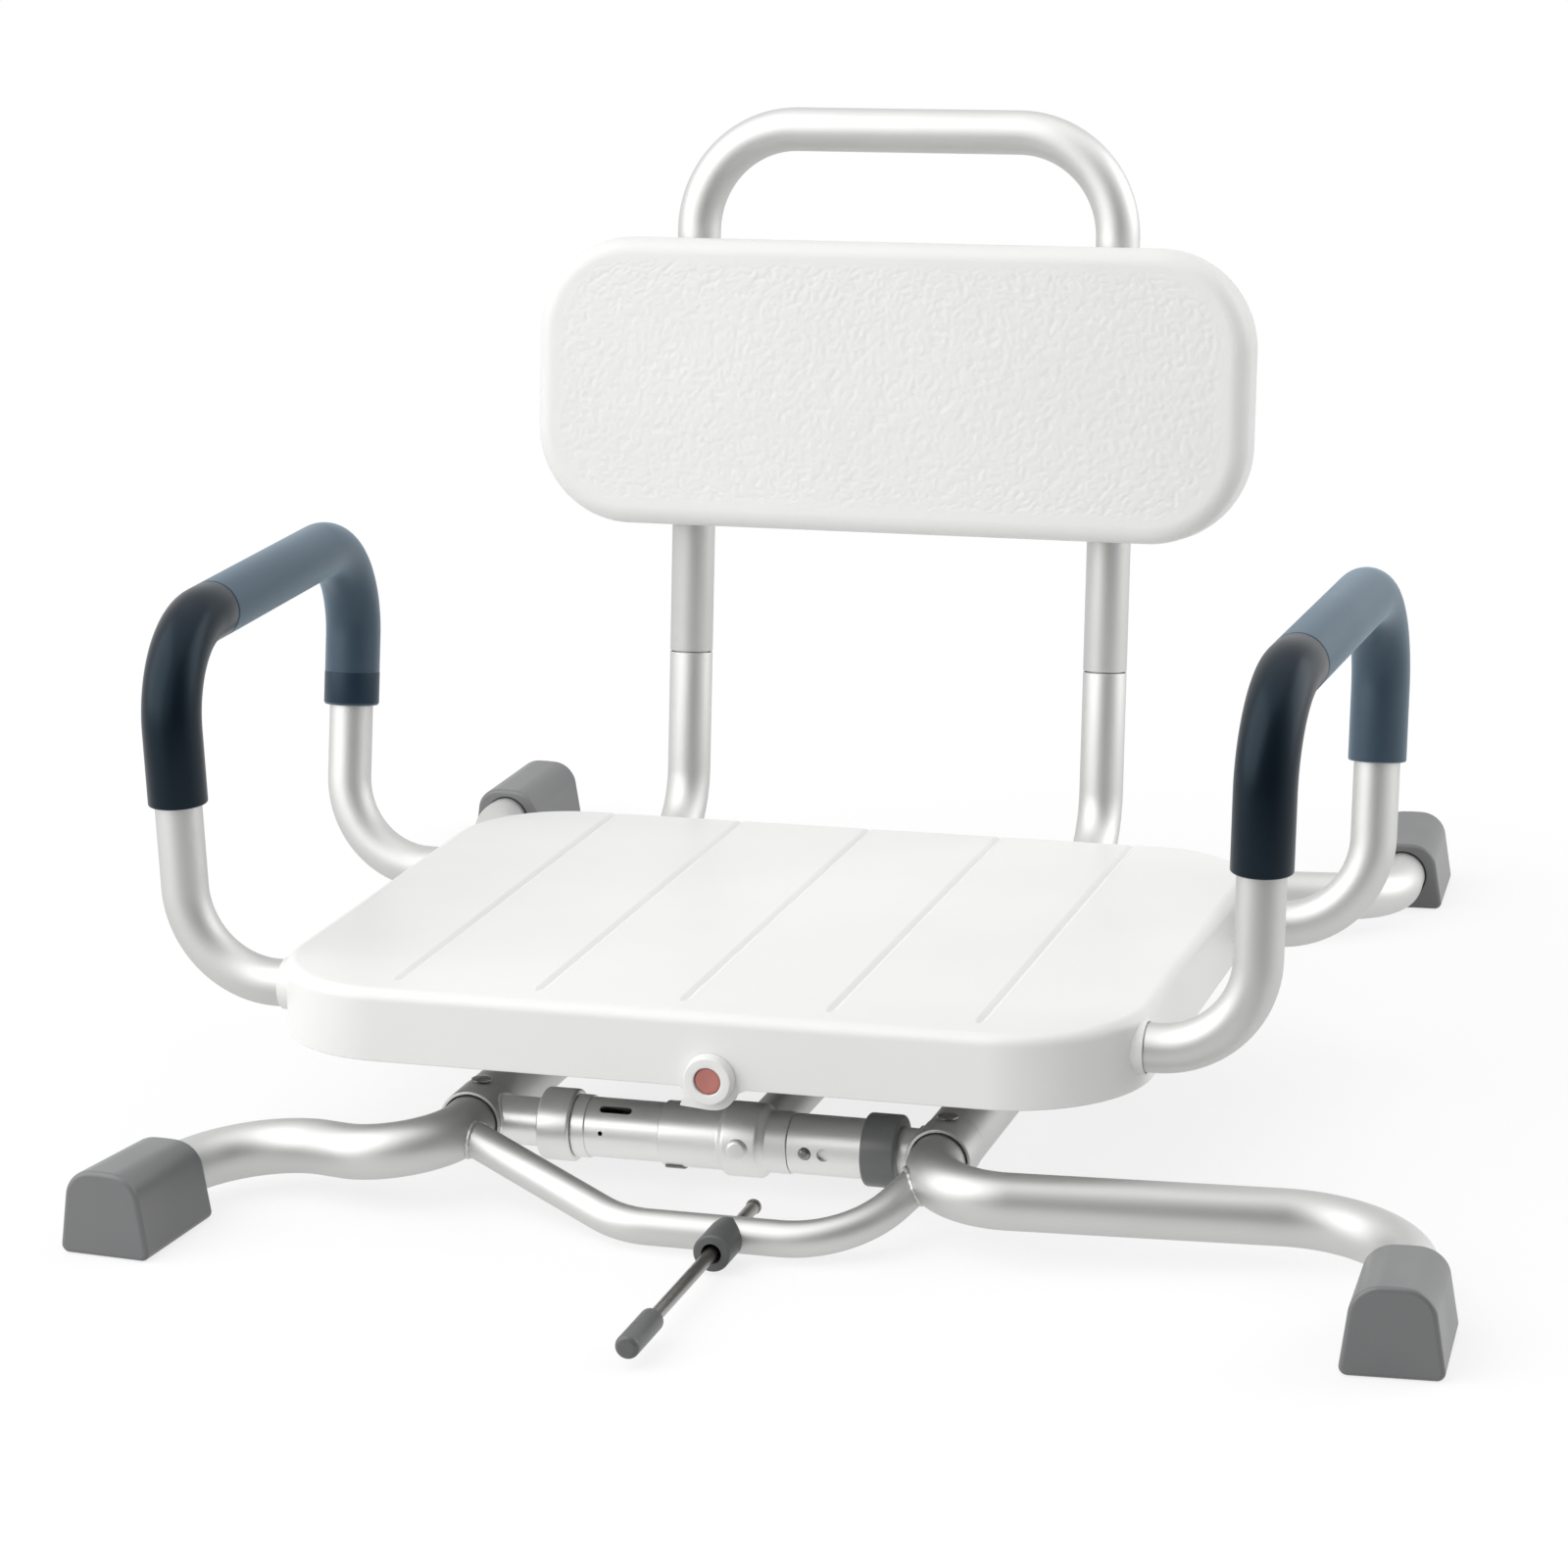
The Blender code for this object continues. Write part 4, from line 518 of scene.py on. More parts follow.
class Route:
    """A line through points, with a steady frame along it for sweeping rings."""

    def __init__(self, points: Sequence[Vector]) -> None:
        """Works out the length and the frame at each point.

        Args:
            points: The line's points.
        """
        self.points = [Vector(point) for point in points]
        self.runs = [(b - a) for a, b in zip(self.points, self.points[1:])]
        self.along = [0.0]
        for run in self.runs:
            self.along.append(self.along[-1] + run.length)
        side = self.runs[0].orthogonal().normalized()
        self.sides = [side]
        for before, after in zip(self.runs, self.runs[1:]):
            side = before.rotation_difference(after) @ side
            self.sides.append(side)

    @property
    def length(self) -> float:
        """Length of the line."""
        return self.along[-1]

    def ring(self, distance: float, radius: float, sides: int) -> list[Vector]:
        """A ring of points round the line.

        Args:
            distance: How far along the line the ring stands. It may pass the ends.
            radius: Radius of the ring.
            sides: Number of points.

        Returns:
            The ring's points.
        """
        last = len(self.runs) - 1
        index = next((i for i in range(last) if distance < self.along[i + 1] - TOUCH), last)
        run = self.runs[index]
        tangent = run.normalized()
        side = self.sides[index]
        if index and abs(distance - self.along[index]) < TOUCH:
            turn = self.runs[index - 1].rotation_difference(run)
            half = Quaternion().slerp(turn.inverted(), 0.5)
            tangent = half @ tangent
            side = half @ side
        up = tangent.cross(side)
        centre = self.points[index] + run.normalized() * (distance - self.along[index])
        return [
            centre + (side * math.cos(turn) + up * math.sin(turn)) * radius
            for turn in (math.tau * step / sides for step in range(sides))
        ]


def sweep(
    name: str, route: Route, rings: Sequence[Ring], sides: int = 48, closed: bool = False,
) -> Mesh:
    """Skins a chain of rings along a route.

    Args:
        name: Name of the mesh.
        route: The line to follow.
        rings: Distance along and radius of each ring, in order.
        sides: Points in each ring.
        closed: Whether the last ring joins the first, which makes a hollow piece. Otherwise both
            ends are filled.

    Returns:
        The new mesh.
    """
    bm = bmesh.new()
    loops = []
    for distance, radius in rings:
        count = sides if radius > POINTED else 1
        loops.append([bm.verts.new(point) for point in route.ring(distance, radius, count)])
    pairs = list(zip(loops, loops[1:]))
    if closed:
        pairs.append((loops[-1], loops[0]))
    for first, second in pairs:
        for index in range(sides):
            after = (index + 1) % sides
            corners = [first[index % len(first)], first[after % len(first)]]
            corners += [second[after % len(second)], second[index % len(second)]]
            corners = list(dict.fromkeys(corners))
            if len(corners) > 2:
                bm.faces.new(corners)
    if not closed:
        for loop in (loops[0], loops[-1]):
            if len(loop) > 2:
                bm.faces.new(loop)
    return finished_mesh(name, bm)


def tube(
    name: str, route: Route, radius: float, wall: float, lip: float = 0.0004, sides: int = 48,
) -> Mesh:
    """A hollow tube with softly rounded ends.

    Args:
        name: Name of the mesh.
        route: The line to follow.
        radius: Outer radius.
        wall: Wall thickness.
        lip: Radius of the rounded end edges.
        sides: Points round the tube.

    Returns:
        The new mesh.
    """
    inner = radius - wall
    length = route.length
    turns = [math.radians(angle) for angle in (0, 30, 60, 90)]
    start = [(lip * (1 - math.sin(turn)), inner + lip * (1 - math.cos(turn))) for turn in turns]
    start += [
        (lip * (1 - math.sin(turn)), radius - lip * (1 - math.cos(turn))) for turn in reversed(turns)
    ]
    end = [(length - along, out) for along, out in reversed(start)]
    stations = [along for along in route.along if lip * 1.5 < along < length - lip * 1.5]
    rings = start + [(along, radius) for along in stations] + end
    rings += [(along, inner) for along in reversed(stations)]
    return sweep(name, route, rings, sides, closed=True)


def turned(
    name: str, start: Sequence[float], direction: Sequence[float], profile: Sequence[Ring],
    sides: int = 48, closed: bool = False,
) -> Mesh:
    """A shape turned about a straight line.

    Args:
        name: Name of the mesh.
        start: Where the line starts.
        direction: Where the line points.
        profile: Distance along the line and radius of each ring.
        sides: Points round the shape.
        closed: Whether the profile closes to a hollow ring.

    Returns:
        The new mesh.
    """
    origin = Vector(start)
    route = Route([origin, origin + Vector(direction).normalized()])
    return sweep(name, route, profile, sides, closed)


def rod(
    start: Sequence[float], direction: Sequence[float], radius: float, length: float, sides: int = 48,
) -> Mesh:
    """A plain rod, used only to cut.

    Args:
        start: Middle of its first end.
        direction: Where it points.
        radius: Its radius.
        length: Its length.
        sides: Points round it.

    Returns:
        The new mesh.
    """
    profile = [(0.0, 0.0), (0.0, radius), (length, radius), (length, 0.0)]
    return turned("rod", start, direction, profile, sides)


def arc(centre: Ring, radius: float, start: float, end: float, steps: int) -> list[Ring]:
    """Points of an arc.

    Args:
        centre: Middle of the arc.
        radius: Its radius.
        start: First angle in degrees.
        end: Last angle in degrees.
        steps: Number of steps.

    Returns:
        The points.
    """
    across, up = centre
    turns = [math.radians(start + (end - start) * step / steps) for step in range(steps + 1)]
    return [(across + radius * math.cos(turn), up + radius * math.sin(turn)) for turn in turns]


def loft(name: str, loops: Sequence[Sequence[Sequence[float]]]) -> Mesh:
    """Skins a chain of loops that have the same number of points, with both ends filled.

    Args:
        name: Name of the mesh.
        loops: The loops in order.

    Returns:
        The new mesh.
    """
    bm = bmesh.new()
    rows = [[bm.verts.new(point) for point in loop] for loop in loops]
    for first, second in zip(rows, rows[1:]):
        skin(bm, first, second)
    bm.faces.new(rows[0])
    bm.faces.new(list(reversed(rows[-1])))
    return finished_mesh(name, bm)


def prism(
    name: str, outline: Sequence[Ring], low: float, high: float, axis: Axis = Axis.Z,
) -> Mesh:
    """A flat outline drawn out along an axis.

    Args:
        name: Name of the mesh.
        outline: Points in X and Y for the Z axis, in X and Z for Y, and in Y and Z for X.
        low: Where it starts on the axis.
        high: Where it ends.
        axis: The axis it is drawn out along.

    Returns:
        The new mesh.
    """
    return loft(name, [
        [[(u, v, level)[index] for index in axis.value] for u, v in outline] for level in (low, high)
    ])


def box(name: str, low: Sequence[float], high: Sequence[float]) -> Mesh:
    """A plain block, used only to cut or join.

    Args:
        name: Name of the mesh.
        low: Lowest corner.
        high: Highest corner.

    Returns:
        The new mesh.
    """
    outline = [(low[0], low[1]), (high[0], low[1]), (high[0], high[1]), (low[0], high[1])]
    return prism(name, outline, low[2], high[2])


def joined(name: str, meshes: Sequence[Mesh]) -> Mesh:
    """Several meshes put in one.

    Args:
        name: Name of the new mesh.
        meshes: The meshes, which are removed.

    Returns:
        The new mesh.
    """
    bm = bmesh.new()
    for mesh in meshes:
        bm.from_mesh(mesh)
        bpy.data.meshes.remove(mesh)
    return finished_mesh(name, bm)


def carved(mesh: Mesh, steps: Sequence[tuple[Carve, Mesh]]) -> Mesh:
    """Joins shapes to a mesh, cuts them from it or trims it to them, in order.

    Args:
        mesh: The mesh to work on.
        steps: What each shape does, and the shape, which is removed.

    Returns:
        The worked mesh, which keeps the first one's name.
    """
    name = mesh.name
    scene = bpy.context.scene.collection.objects
    work = bpy.data.objects.new("work", mesh)
    scene.link(work)
    helpers = []
    for operation, shape in steps:
        helper = bpy.data.objects.new("helper", shape)
        scene.link(helper)
        modifier = work.modifiers.new("step", "BOOLEAN")
        modifier.operation = operation.value
        modifier.solver = "EXACT"
        modifier.object = helper
        helpers.append(helper)
    bpy.context.view_layer.update()
    graph = bpy.context.evaluated_depsgraph_get()
    result = bpy.data.meshes.new_from_object(work.evaluated_get(graph))
    for obj in [work, *helpers]:
        data = obj.data
        bpy.data.objects.remove(obj)
        bpy.data.meshes.remove(data)
    result.name = name
    result.materials.clear()
    return result


class Workshop:
    """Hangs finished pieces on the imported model."""

    def __init__(self, frame: dict, finishes: Finishes, axis: Vector) -> None:
        """Reads which body and slot each node has.

        Args:
            finishes: The object's materials.
            axis: A point on the swivel axis.
        """
        record = frame["record"]
        self.finishes = finishes
        self.shift = Matrix.Translation((axis.x, axis.y, 0.0))
        self.slots = {part["node"]: part["material_slot"] for part in record["subparts"]}
        self.bodies = {
            node: body for body, nodes in record["behaviour"]["bodies"].items() for node in nodes
        }

    def add(
        self, name: str, mesh: Mesh, *nodes: str, like: str | None = None, crease: float = 35.0,
        weighted: bool = False, look: Look | None = None,
    ) -> bpy.types.Object:
        """Adds a piece that was built from the swivel axis.

        Args:
            name: Name of the piece.
            mesh: Its mesh.
            nodes: The CAD nodes that it stands for.
            like: The node whose body and slot it shares, where it stands for none.
            crease: Angle in degrees over which an edge stays sharp.
            weighted: Whether its normals follow the larger faces.
            look: A look of its own, in place of its slot's.

        Returns:
            The new object.
        """
        model = like or nodes[0]
        mesh.transform(self.shift)
        mesh.shade_smooth()
        mesh.set_sharp_from_angle(angle=math.radians(crease))
        obj = bpy.data.objects.new(name, mesh)
        bpy.context.scene.collection.objects.link(obj)
        if weighted:
            normals = obj.modifiers.new("normals", "WEIGHTED_NORMAL")
            normals.keep_sharp = True
            normals.weight = 90
        self.finishes.dress(obj, self.slots[model], look)
        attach(obj, self.bodies[model])
        if nodes:
            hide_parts(*nodes)
        LOG.info("%s: %d faces on %s", name, len(mesh.polygons), self.bodies[model])
        return obj


@dataclass
class ArmHoop:
    """One arm: a bent tube with a dark grip in front and a lighter one on top."""

    side: Side
    tube: float = 0.0111
    wall: float = 0.0015
    front: Ring = ARM_ENDS[0]
    rear: Ring = ARM_ENDS[1]
    top_z: float = 0.2507
    top_rear_y: float = 0.105
    out: float = 0.253
    lean: float = 0.005
    splay: float = 0.0124
    bend: float = 0.045
    end_x: float = 0.131
    grip_wall: float = 0.0026
    grip_low: tuple[float, float] = (0.171, 0.163)
    seam_y: float = -0.088
    grip_lip: float = 0.0011
    band: Ring = (0.0012, 0.0170)
    band_proud: float = 0.00012
    band_sunk: float = 0.0004
    band_edge: float = 0.0001

    def corners(self) -> list[Vector]:
        """The tube's corners: in at the front, up, back along the top, down and in again."""
        sign = self.side.value
        front_y, front_z = self.front
        rear_y, rear_z = self.rear
        rear_x = self.out + self.splay
        return [
            Vector((sign * self.end_x, front_y, front_z)), Vector((sign * self.out, front_y, front_z)),
            Vector((sign * (self.out + self.lean), front_y, self.top_z)),
            Vector((sign * rear_x, self.top_rear_y, self.top_z)),
            Vector((sign * rear_x, rear_y, rear_z)), Vector((sign * self.end_x, rear_y, rear_z)),
        ]

    def build(self, shop: Workshop) -> None:
        """Builds the tube and its grips.

        Args:
            shop: Where the pieces go.
        """
        word = self.side.word
        corners = self.corners()
        route = Route(bent_route(corners, [self.bend] * 4))
        name = f"{word}_arm_tube"
        shop.add(name, tube(name, route, self.tube, self.wall), f"{word}_arm")
        share = (self.seam_y - self.front[0]) / (self.top_rear_y - self.front[0])
        seam = corners[2].lerp(corners[3], share)
        step = (corners[3] - corners[2]).normalized() * GAP
        front_low = self.at_height(corners[1], corners[2], self.grip_low[0])
        rear_low = self.at_height(corners[4], corners[3], self.grip_low[1])
        bore = self.tube + GAP
        outer = bore + self.grip_wall
        halves = (
            ("front_grip", "grip_front", [front_low, corners[2], seam]),
            ("top_grip", "grip_top", [seam + step, corners[3], rear_low]),
        )
        for piece, node, points in halves:
            route = Route(bent_route(points, [self.bend], 3.0))
            name = f"{word}_{piece}"
            mesh = tube(name, route, outer, self.grip_wall, self.grip_lip)
            shop.add(name, mesh, f"{word}_{node}")
        if self.side is Side.LEFT:
            self.build_band(shop, rear_low, corners[3], outer)

    def build_band(self, shop: Workshop, low: Vector, high: Vector, outer: float) -> None:
        """Builds the darker end band of the top grip.

        Args:
            shop: Where the piece goes.
            low: Lower end of the grip.
            high: A point further up its leg.
            outer: Outer radius of the grip.
        """
        name = f"{self.side.word}_grip_band"
        start, end = self.band
        inner, face = outer - self.band_sunk, outer + self.band_proud
        profile = rounded_profile(
            [(start, inner), (start, face), (end, face), (end, inner)], self.band_edge)
        mesh = turned(name, low, high - low, profile, closed=True)
        shop.add(name, mesh, like=f"{self.side.word}_grip_top", look=Look.BAND)

    @staticmethod
    def at_height(low: Vector, high: Vector, level: float) -> Vector:
        """The point of a leaning upright at a given height."""
        return low.lerp(high, (level - low.z) / (high.z - low.z))


@dataclass
class Backrest:
    """The posts, the hoop above them, the moulded panel and its screws."""

    half: float = POST_X
    tube: float = 0.0111
    wall: float = 0.0015
    lean: float = math.atan(0.1364)
    post_z: float = POST_Z
    post_end_y: float = 0.055
    post_bend: float = 0.039
    seam: tuple[float, float] = (0.1794, 0.1786)
    spigot: float = 0.009
    hoop_height: float = 0.2706
    hoop_bend: float = 0.052
    width: float = 0.372
    height: float = 0.1465
    thick: float = 0.025
    corner: float = 0.050
    edge: float = 0.0085
    middle: float = 0.141
    back_edge: Ring = (0.0005, 0.0016)
    columns: int = 340
    corner_rows: int = 60
    row_pitch: float = 0.0011
    rim_steps: int = 8
    border: float = 0.0100
    fade: float = 0.006
    relief: float = 0.00026
    wrinkle: float = 290.0
    wrinkle_width: float = 0.20
    warp: float = 130.0
    warp_share: float = 0.75
    pebble: float = 520.0
    pebble_share: float = 0.22
    planes: tuple[float, float] = (0.37, 1.7)
    seed: int = 3
    screw_rise: float = 0.040

    @property
    def face(self) -> tuple[float, float, float]:
        """Half width, half height and corner radius of the panel's face inside its rim."""
        return self.width / 2 - self.edge, self.height / 2 - self.edge, self.corner - self.edge

    def frame(self) -> Matrix:
        """The leaning frame that the hoop and panel are drawn in."""
        place = Matrix.Translation((0.0, self.seam[0], self.seam[1]))
        return place @ Matrix.Rotation(-self.lean, 4, "X")

    def build(self, shop: Workshop) -> None:
        """Builds every piece of the backrest.

        Args:
            shop: Where the pieces go.
        """
        self.build_posts(shop)
        self.build_hoop(shop)
        mesh = self.panel_mesh()
        mesh.transform(self.frame())
        # The panel's white is darkened with painted shade.
        shop.add("backrest_panel", mesh, "back_panel", crease=50.0, look=Look.PANEL_MOULDING)
        self.build_screws(shop)

    def build_posts(self, shop: Workshop) -> None:
        """Builds the two posts with the thinner spigots that the hoop slides over."""
        lean = Vector((0.0, math.sin(self.lean), math.cos(self.lean)))
        for side in Side:
            x = side.value * self.half
            seam = Vector((x, *self.seam))
            foot = seam - lean * ((self.seam[1] - self.post_z) / lean.z)
            start = Vector((x, self.post_end_y, self.post_z))
            route = Route(bent_route([start, foot, seam], [self.post_bend]))
            name = f"{side.word}_lower_post"
            post = tube(name, route, self.tube, self.wall)
            inner = self.tube - self.wall
            spigot = turned(
                name, seam - lean * 0.006, lean,
                [(0.0, self.spigot - self.wall), (0.0, inner), (0.005, inner), (0.005, self.spigot),
                 (0.0505, self.spigot), (0.051, self.spigot - 0.0005),
                 (0.051, self.spigot - self.wall)], closed=True)
            shop.add(name, joined(name, [post, spigot]), f"{side.word}_post")

    def build_hoop(self, shop: Workshop) -> None:
        """Builds the upper hoop."""
        low = GAP * 2
        corners = [
            (-self.half, 0.0, low), (-self.half, 0.0, self.hoop_height),
            (self.half, 0.0, self.hoop_height), (self.half, 0.0, low),
        ]
        frame = self.frame()
        route = Route([frame @ point for point in bent_route(corners, [self.hoop_bend] * 2)])
        shop.add("backrest_hoop", tube("backrest_hoop", route, self.tube, self.wall), "back_hoop")

    def outline(self) -> list[Ring]:
        """Rows of the panel's face, as (half width, height) pairs from the bottom up."""
        half, top, radius = self.face
        corner = [
            (half - radius + radius * math.cos(turn), top - radius + radius * math.sin(turn))
            for turn in (
                math.pi / 2 * step / self.corner_rows for step in range(self.corner_rows + 1))
        ]
        straight = (top - radius) * 2
        count = max(2, round(straight / self.row_pitch))
        middle = [(half, -top + radius + straight * step / count) for step in range(1, count)]
        low = [(width, -level) for width, level in reversed(corner)]
        return low + middle + corner

    def relief_at(self, x: float, z: float, room: float) -> float:
        """Height of the moulded wrinkle pattern at a point of the face.

        Args:
            x: Across.
            z: Up.
            room: Distance to the outline.

        Returns:
            The height, in metres.
        """
        fade = min(1.0, max(0.0, (room - self.border) / self.fade))
        if fade <= 0.0:
            return 0.0
        low, high = self.planes
        place = Vector((x, z, low))
        warp = noise.noise_vector(place * self.warp) * self.warp_share
        worm = abs(noise.noise(Vector((x * self.wrinkle, z * self.wrinkle, high)) + warp))
        crease = min(1.0, worm / self.wrinkle_width)
        pebble = noise.noise(place * self.pebble) * self.pebble_share
        return self.relief * fade * (eased(crease) - 1.0 + pebble)

    def panel_mesh(self) -> Mesh:
        """The panel: a face with a moulded wrinkle pattern, a rounded rim and a plain back."""
        # Without a seed, noise_vector() would start from the time and differ from run to run.
        noise.seed_set(self.seed)
        bm = bmesh.new()
        rear = -self.tube - GAP
        front = rear - self.thick
        grid = []
        for half, level in self.outline():
            row = []
            for column in range(self.columns + 1):
                x = half * (column / self.columns * 2 - 1)
                y = front - self.relief_at(x, level, self.room(x, level) + self.edge)
                row.append(bm.verts.new((x, y, level + self.middle)))
            grid.append(row)
        for low, high in zip(grid, grid[1:]):
            for index in range(self.columns):
                bm.faces.new((low[index], low[index + 1], high[index + 1], high[index]))
        rim = grid[0][:-1] + [row[-1] for row in grid[:-1]] + grid[-1][:0:-1]
        rim += [row[0] for row in reversed(grid[1:])]
        outward = [self.outward(vert) for vert in rim]
        last = rim
        steps = [
            (self.edge * math.sin(turn), self.edge * (1 - math.cos(turn)))
            for turn in (
                math.pi / 2 * step / self.rim_steps for step in range(1, self.rim_steps + 1))
        ]
        near, far = self.back_edge
        steps += [
            (self.edge, self.thick - far), (self.edge - near, self.thick - near),
            (self.edge - far, self.thick),
        ]
        for grow, depth in steps:
            ring = [
                bm.verts.new((vert.co.x + out.x * grow, front + depth, vert.co.z + out.y * grow))
                for vert, out in zip(rim, outward)
            ]
            skin(bm, last, ring)
            last = ring
        bm.faces.new(last)
        return finished_mesh("backrest_panel", bm)

    def room(self, x: float, z: float) -> float:
        """Distance from a point of the panel's face to the face's outline.

        Args:
            x: Across.
            z: Up from the panel's middle.

        Returns:
            The distance, measured inwards.
        """
        half, top, radius = self.face
        over = Vector((max(0.0, abs(x) - half + radius), max(0.0, abs(z) - top + radius)))
        if over.x > 0.0 and over.y > 0.0:
            return radius - over.length
        return min(half - abs(x), top - abs(z))

    def outward(self, vert: bmesh.types.BMVert) -> Vector:
        """The direction straight out of the face's outline at one of its points.

        Args:
            vert: The point.

        Returns:
            The direction, across and up.
        """
        half, top, radius = self.face
        x = vert.co.x
        z = vert.co.z - self.middle
        over_x = max(0.0, abs(x) - half + radius)
        over_z = max(0.0, abs(z) - top + radius)
        if over_x > TOUCH and over_z > TOUCH:
            return Vector((math.copysign(over_x, x), math.copysign(over_z, z))).normalized()
        if half - abs(x) < top - abs(z):
            return Vector((math.copysign(1.0, x), 0.0))
        return Vector((0.0, math.copysign(1.0, z)))

    def build_screws(self, shop: Workshop) -> None:
        """Builds the four domed screws behind the hoop."""
        frame = self.frame()
        start = self.tube + GAP
        profile = [
            (0.0023, 0.0), (0.0022, 0.0012), (0.0018, 0.0028), (0.0011, 0.0038), (0.0003, 0.0042),
            (0.0, 0.0042), (0.0, 0.0019), (-0.0336, 0.0019), (-0.0342, 0.0013), (-0.0342, 0.0),
        ]
        for side in Side:
            for word, sign in (("low", -1), ("high", 1)):
                name = f"panel_screw_{side.word}_{word}_fine"
                origin = (side.value * self.half, start, self.middle + sign * self.screw_rise)
                mesh = turned(name, origin, ALONG_Y, profile, 24)
                cross = [
                    box("recess", (origin[0] - a, start + 0.0014, origin[2] - b),
                        (origin[0] + a, start + 0.0030, origin[2] + b))
                    for a, b in ((0.0022, 0.0005), (0.0005, 0.0022))
                ]
                mesh = carved(mesh, [(Carve.CUT, shape) for shape in cross])
                mesh.transform(frame)
                shop.add(name, mesh, f"panel_screw_{side.word}_{word}")


@dataclass
class SeatMoulding:
    """The seat moulding: slatted deck, rounded rim and skirt, ribs and sockets underneath."""

    width: float = 0.410
    front: float = -0.195
    rear: float = 0.130
    top_z: float = 0.1035
    skirt_z: float = 0.0695
    skin: float = 0.0036
    front_corner: float = 0.062
    rear_corner: float = 0.055
    edge: float = 0.0056
    lower_edge: float = 0.0007
    slat_pitch: float = 0.0683
    slats: int = 6
    groove_width: float = 0.0050
    groove_depth: float = 0.0016
    groove_start: float = 0.0163
    rib_height: float = 0.012
    rib_wall: float = 0.003
    socket_bore: float = 0.0116
    socket_radius: float = 0.0142
    lip_radius: float = 0.0122
    lip_out: float = 0.0003
    arm_places: tuple[Ring, ...] = ARM_ENDS
    arm_socket: tuple[float, float] = (0.1265, 0.186)
    post_x: float = POST_X
    post_z: float = POST_Z
    post_start: float = 0.0505
    stake: float = 0.0022
    stake_place: float = 0.042
    boss_z: float = 0.0571
    stake_z: float = 0.0540
    button: Ring = BUTTON_PLACE
    housing_hole: float = 0.0088
    bite: float = 0.85

    @property
    def deck_z(self) -> float:
        """Height of the underside of the deck."""
        return self.top_z - self.skin

    @property
    def bond_z(self) -> float:
        """Height to which the pieces under the deck reach into it."""
        return self.deck_z + self.skin / 6

    def outline(self, inset: float, steps: int = 16) -> list[Ring]:
        """The seat's plan outline, drawn in by an inset.

        Args:
            inset: How far it is drawn in.
            steps: Steps in each corner.

        Returns:
            The outline's points, counter-clockwise.
        """
        half = self.width / 2 - inset
        low = self.front + inset
        high = self.rear - inset
        near = max(0.001, self.front_corner - inset)
        far = max(0.001, self.rear_corner - inset)
        points = arc((half - near, low + near), near, -90, 0, steps)
        points += arc((half - far, high - far), far, 0, 90, steps)
        points += arc((far - half, high - far), far, 90, 180, steps)
        return points + arc((near - half, low + near), near, 180, 270, steps)

    def shell(self) -> Mesh:
        """The plain shell: one wall that runs from the pocket round the lower edge and over the rim."""
        pocket_edge = self.edge - self.skin
        lip = self.lower_edge
        rows = []
        for turn in map(math.radians, range(90, -1, -15)):
            inset = self.skin + pocket_edge * (1 - math.cos(turn))
            rows.append((inset, self.deck_z - pocket_edge * (1 - math.sin(turn))))
        for turn in map(math.radians, (0, 30, 60, 90)):
            inset = self.skin - lip * (1 - math.cos(turn))
            rows.append((inset, self.skirt_z + lip * (1 - math.sin(turn))))
        for turn in map(math.radians, (90, 60, 30, 0)):
            rows.append((lip * (1 - math.cos(turn)), self.skirt_z + lip * (1 - math.sin(turn))))
        for turn in map(math.radians, range(0, 91, 9)):
            inset = self.edge * (1 - math.cos(turn))
            rows.append((inset, self.top_z - self.edge * (1 - math.sin(turn))))
        return loft("seat_moulding", [
            [(x, y, z) for x, y in self.outline(inset)] for inset, z in rows
        ])

    def slat_lines(self) -> list[float]:
        """Where the lines between the slats stand."""
        return [(index - self.slats / 2) * self.slat_pitch for index in range(1, self.slats)]

    def ribs(self) -> Mesh:
        """The ribs under the lines between the slats."""
        low = self.deck_z - self.rib_height
        start, end = self.front + self.skin * self.bite, self.rear - self.skin * self.bite
        half = self.rib_wall / 2
        return joined("ribs", [
            box("rib", (x - half, start, low), (x + half, end, self.bond_z)) for x in self.slat_lines()
        ])

    def fittings(self) -> Mesh:
        """The staked bosses, the block of the catch and the bracket of the push rod."""
        high = self.bond_z
        x = self.button[0]
        boss = self.stake * 2.8
        profile = [
            (high, 0.0), (high, boss), (self.boss_z, boss), (self.boss_z, self.stake),
            (self.stake_z, self.stake), (self.stake_z, self.stake * 1.7),
            (self.stake_z - 0.0016, self.stake * 1.3), (self.stake_z - 0.0016, 0.0),
        ]
        pieces = [
            turned("boss", (sx * self.stake_place, sy * self.stake_place, 0.0), ALONG_Z, profile, 24)
            for sx in (-1, 1)
            for sy in (-1, 1)
        ]
        pieces.append(box("block", (x - 0.007, -0.046, 0.0805), (x + 0.007, -0.020, high)))
        pieces.append(box(
            "guide", (x - 0.007, -0.1515, self.skirt_z + 0.0005), (x + 0.007, -0.1485, high)))
        return joined("fittings", pieces)

    def tab(self) -> Mesh:
        """The tab of the skirt below the button housing."""
        depth, lug, waist, reach = 0.0147, 0.0150, 0.0125, 0.0159
        low = self.skirt_z - self.button[1]
        corners = [
            (-waist - 0.0024, low + 0.003), (-waist - 0.0022, low + 0.0004), (-waist, low - 0.0022),
            (-waist, low - 0.0048), (-lug, 0.0009 - depth), (0.0, -depth - 0.0004),
            (reach * 0.62, -depth * 0.96), (reach * 0.72, low - 0.0020),
            (reach + 0.0012, low + 0.0003), (reach + 0.0012, low + 0.003),
        ]
        radii = [0.0012, 0.0022, 0.0015, 0.0006, 0.020, 0.0105, 0.0052, 0.0008]
        x, z = self.button
        outline = [(x + u, z + w) for u, w in rounded_profile(corners, radii, 9.0)]
        start = self.front + 0.00006
        return prism("tab", outline, start, start + self.skin * 0.9, Axis.Y)

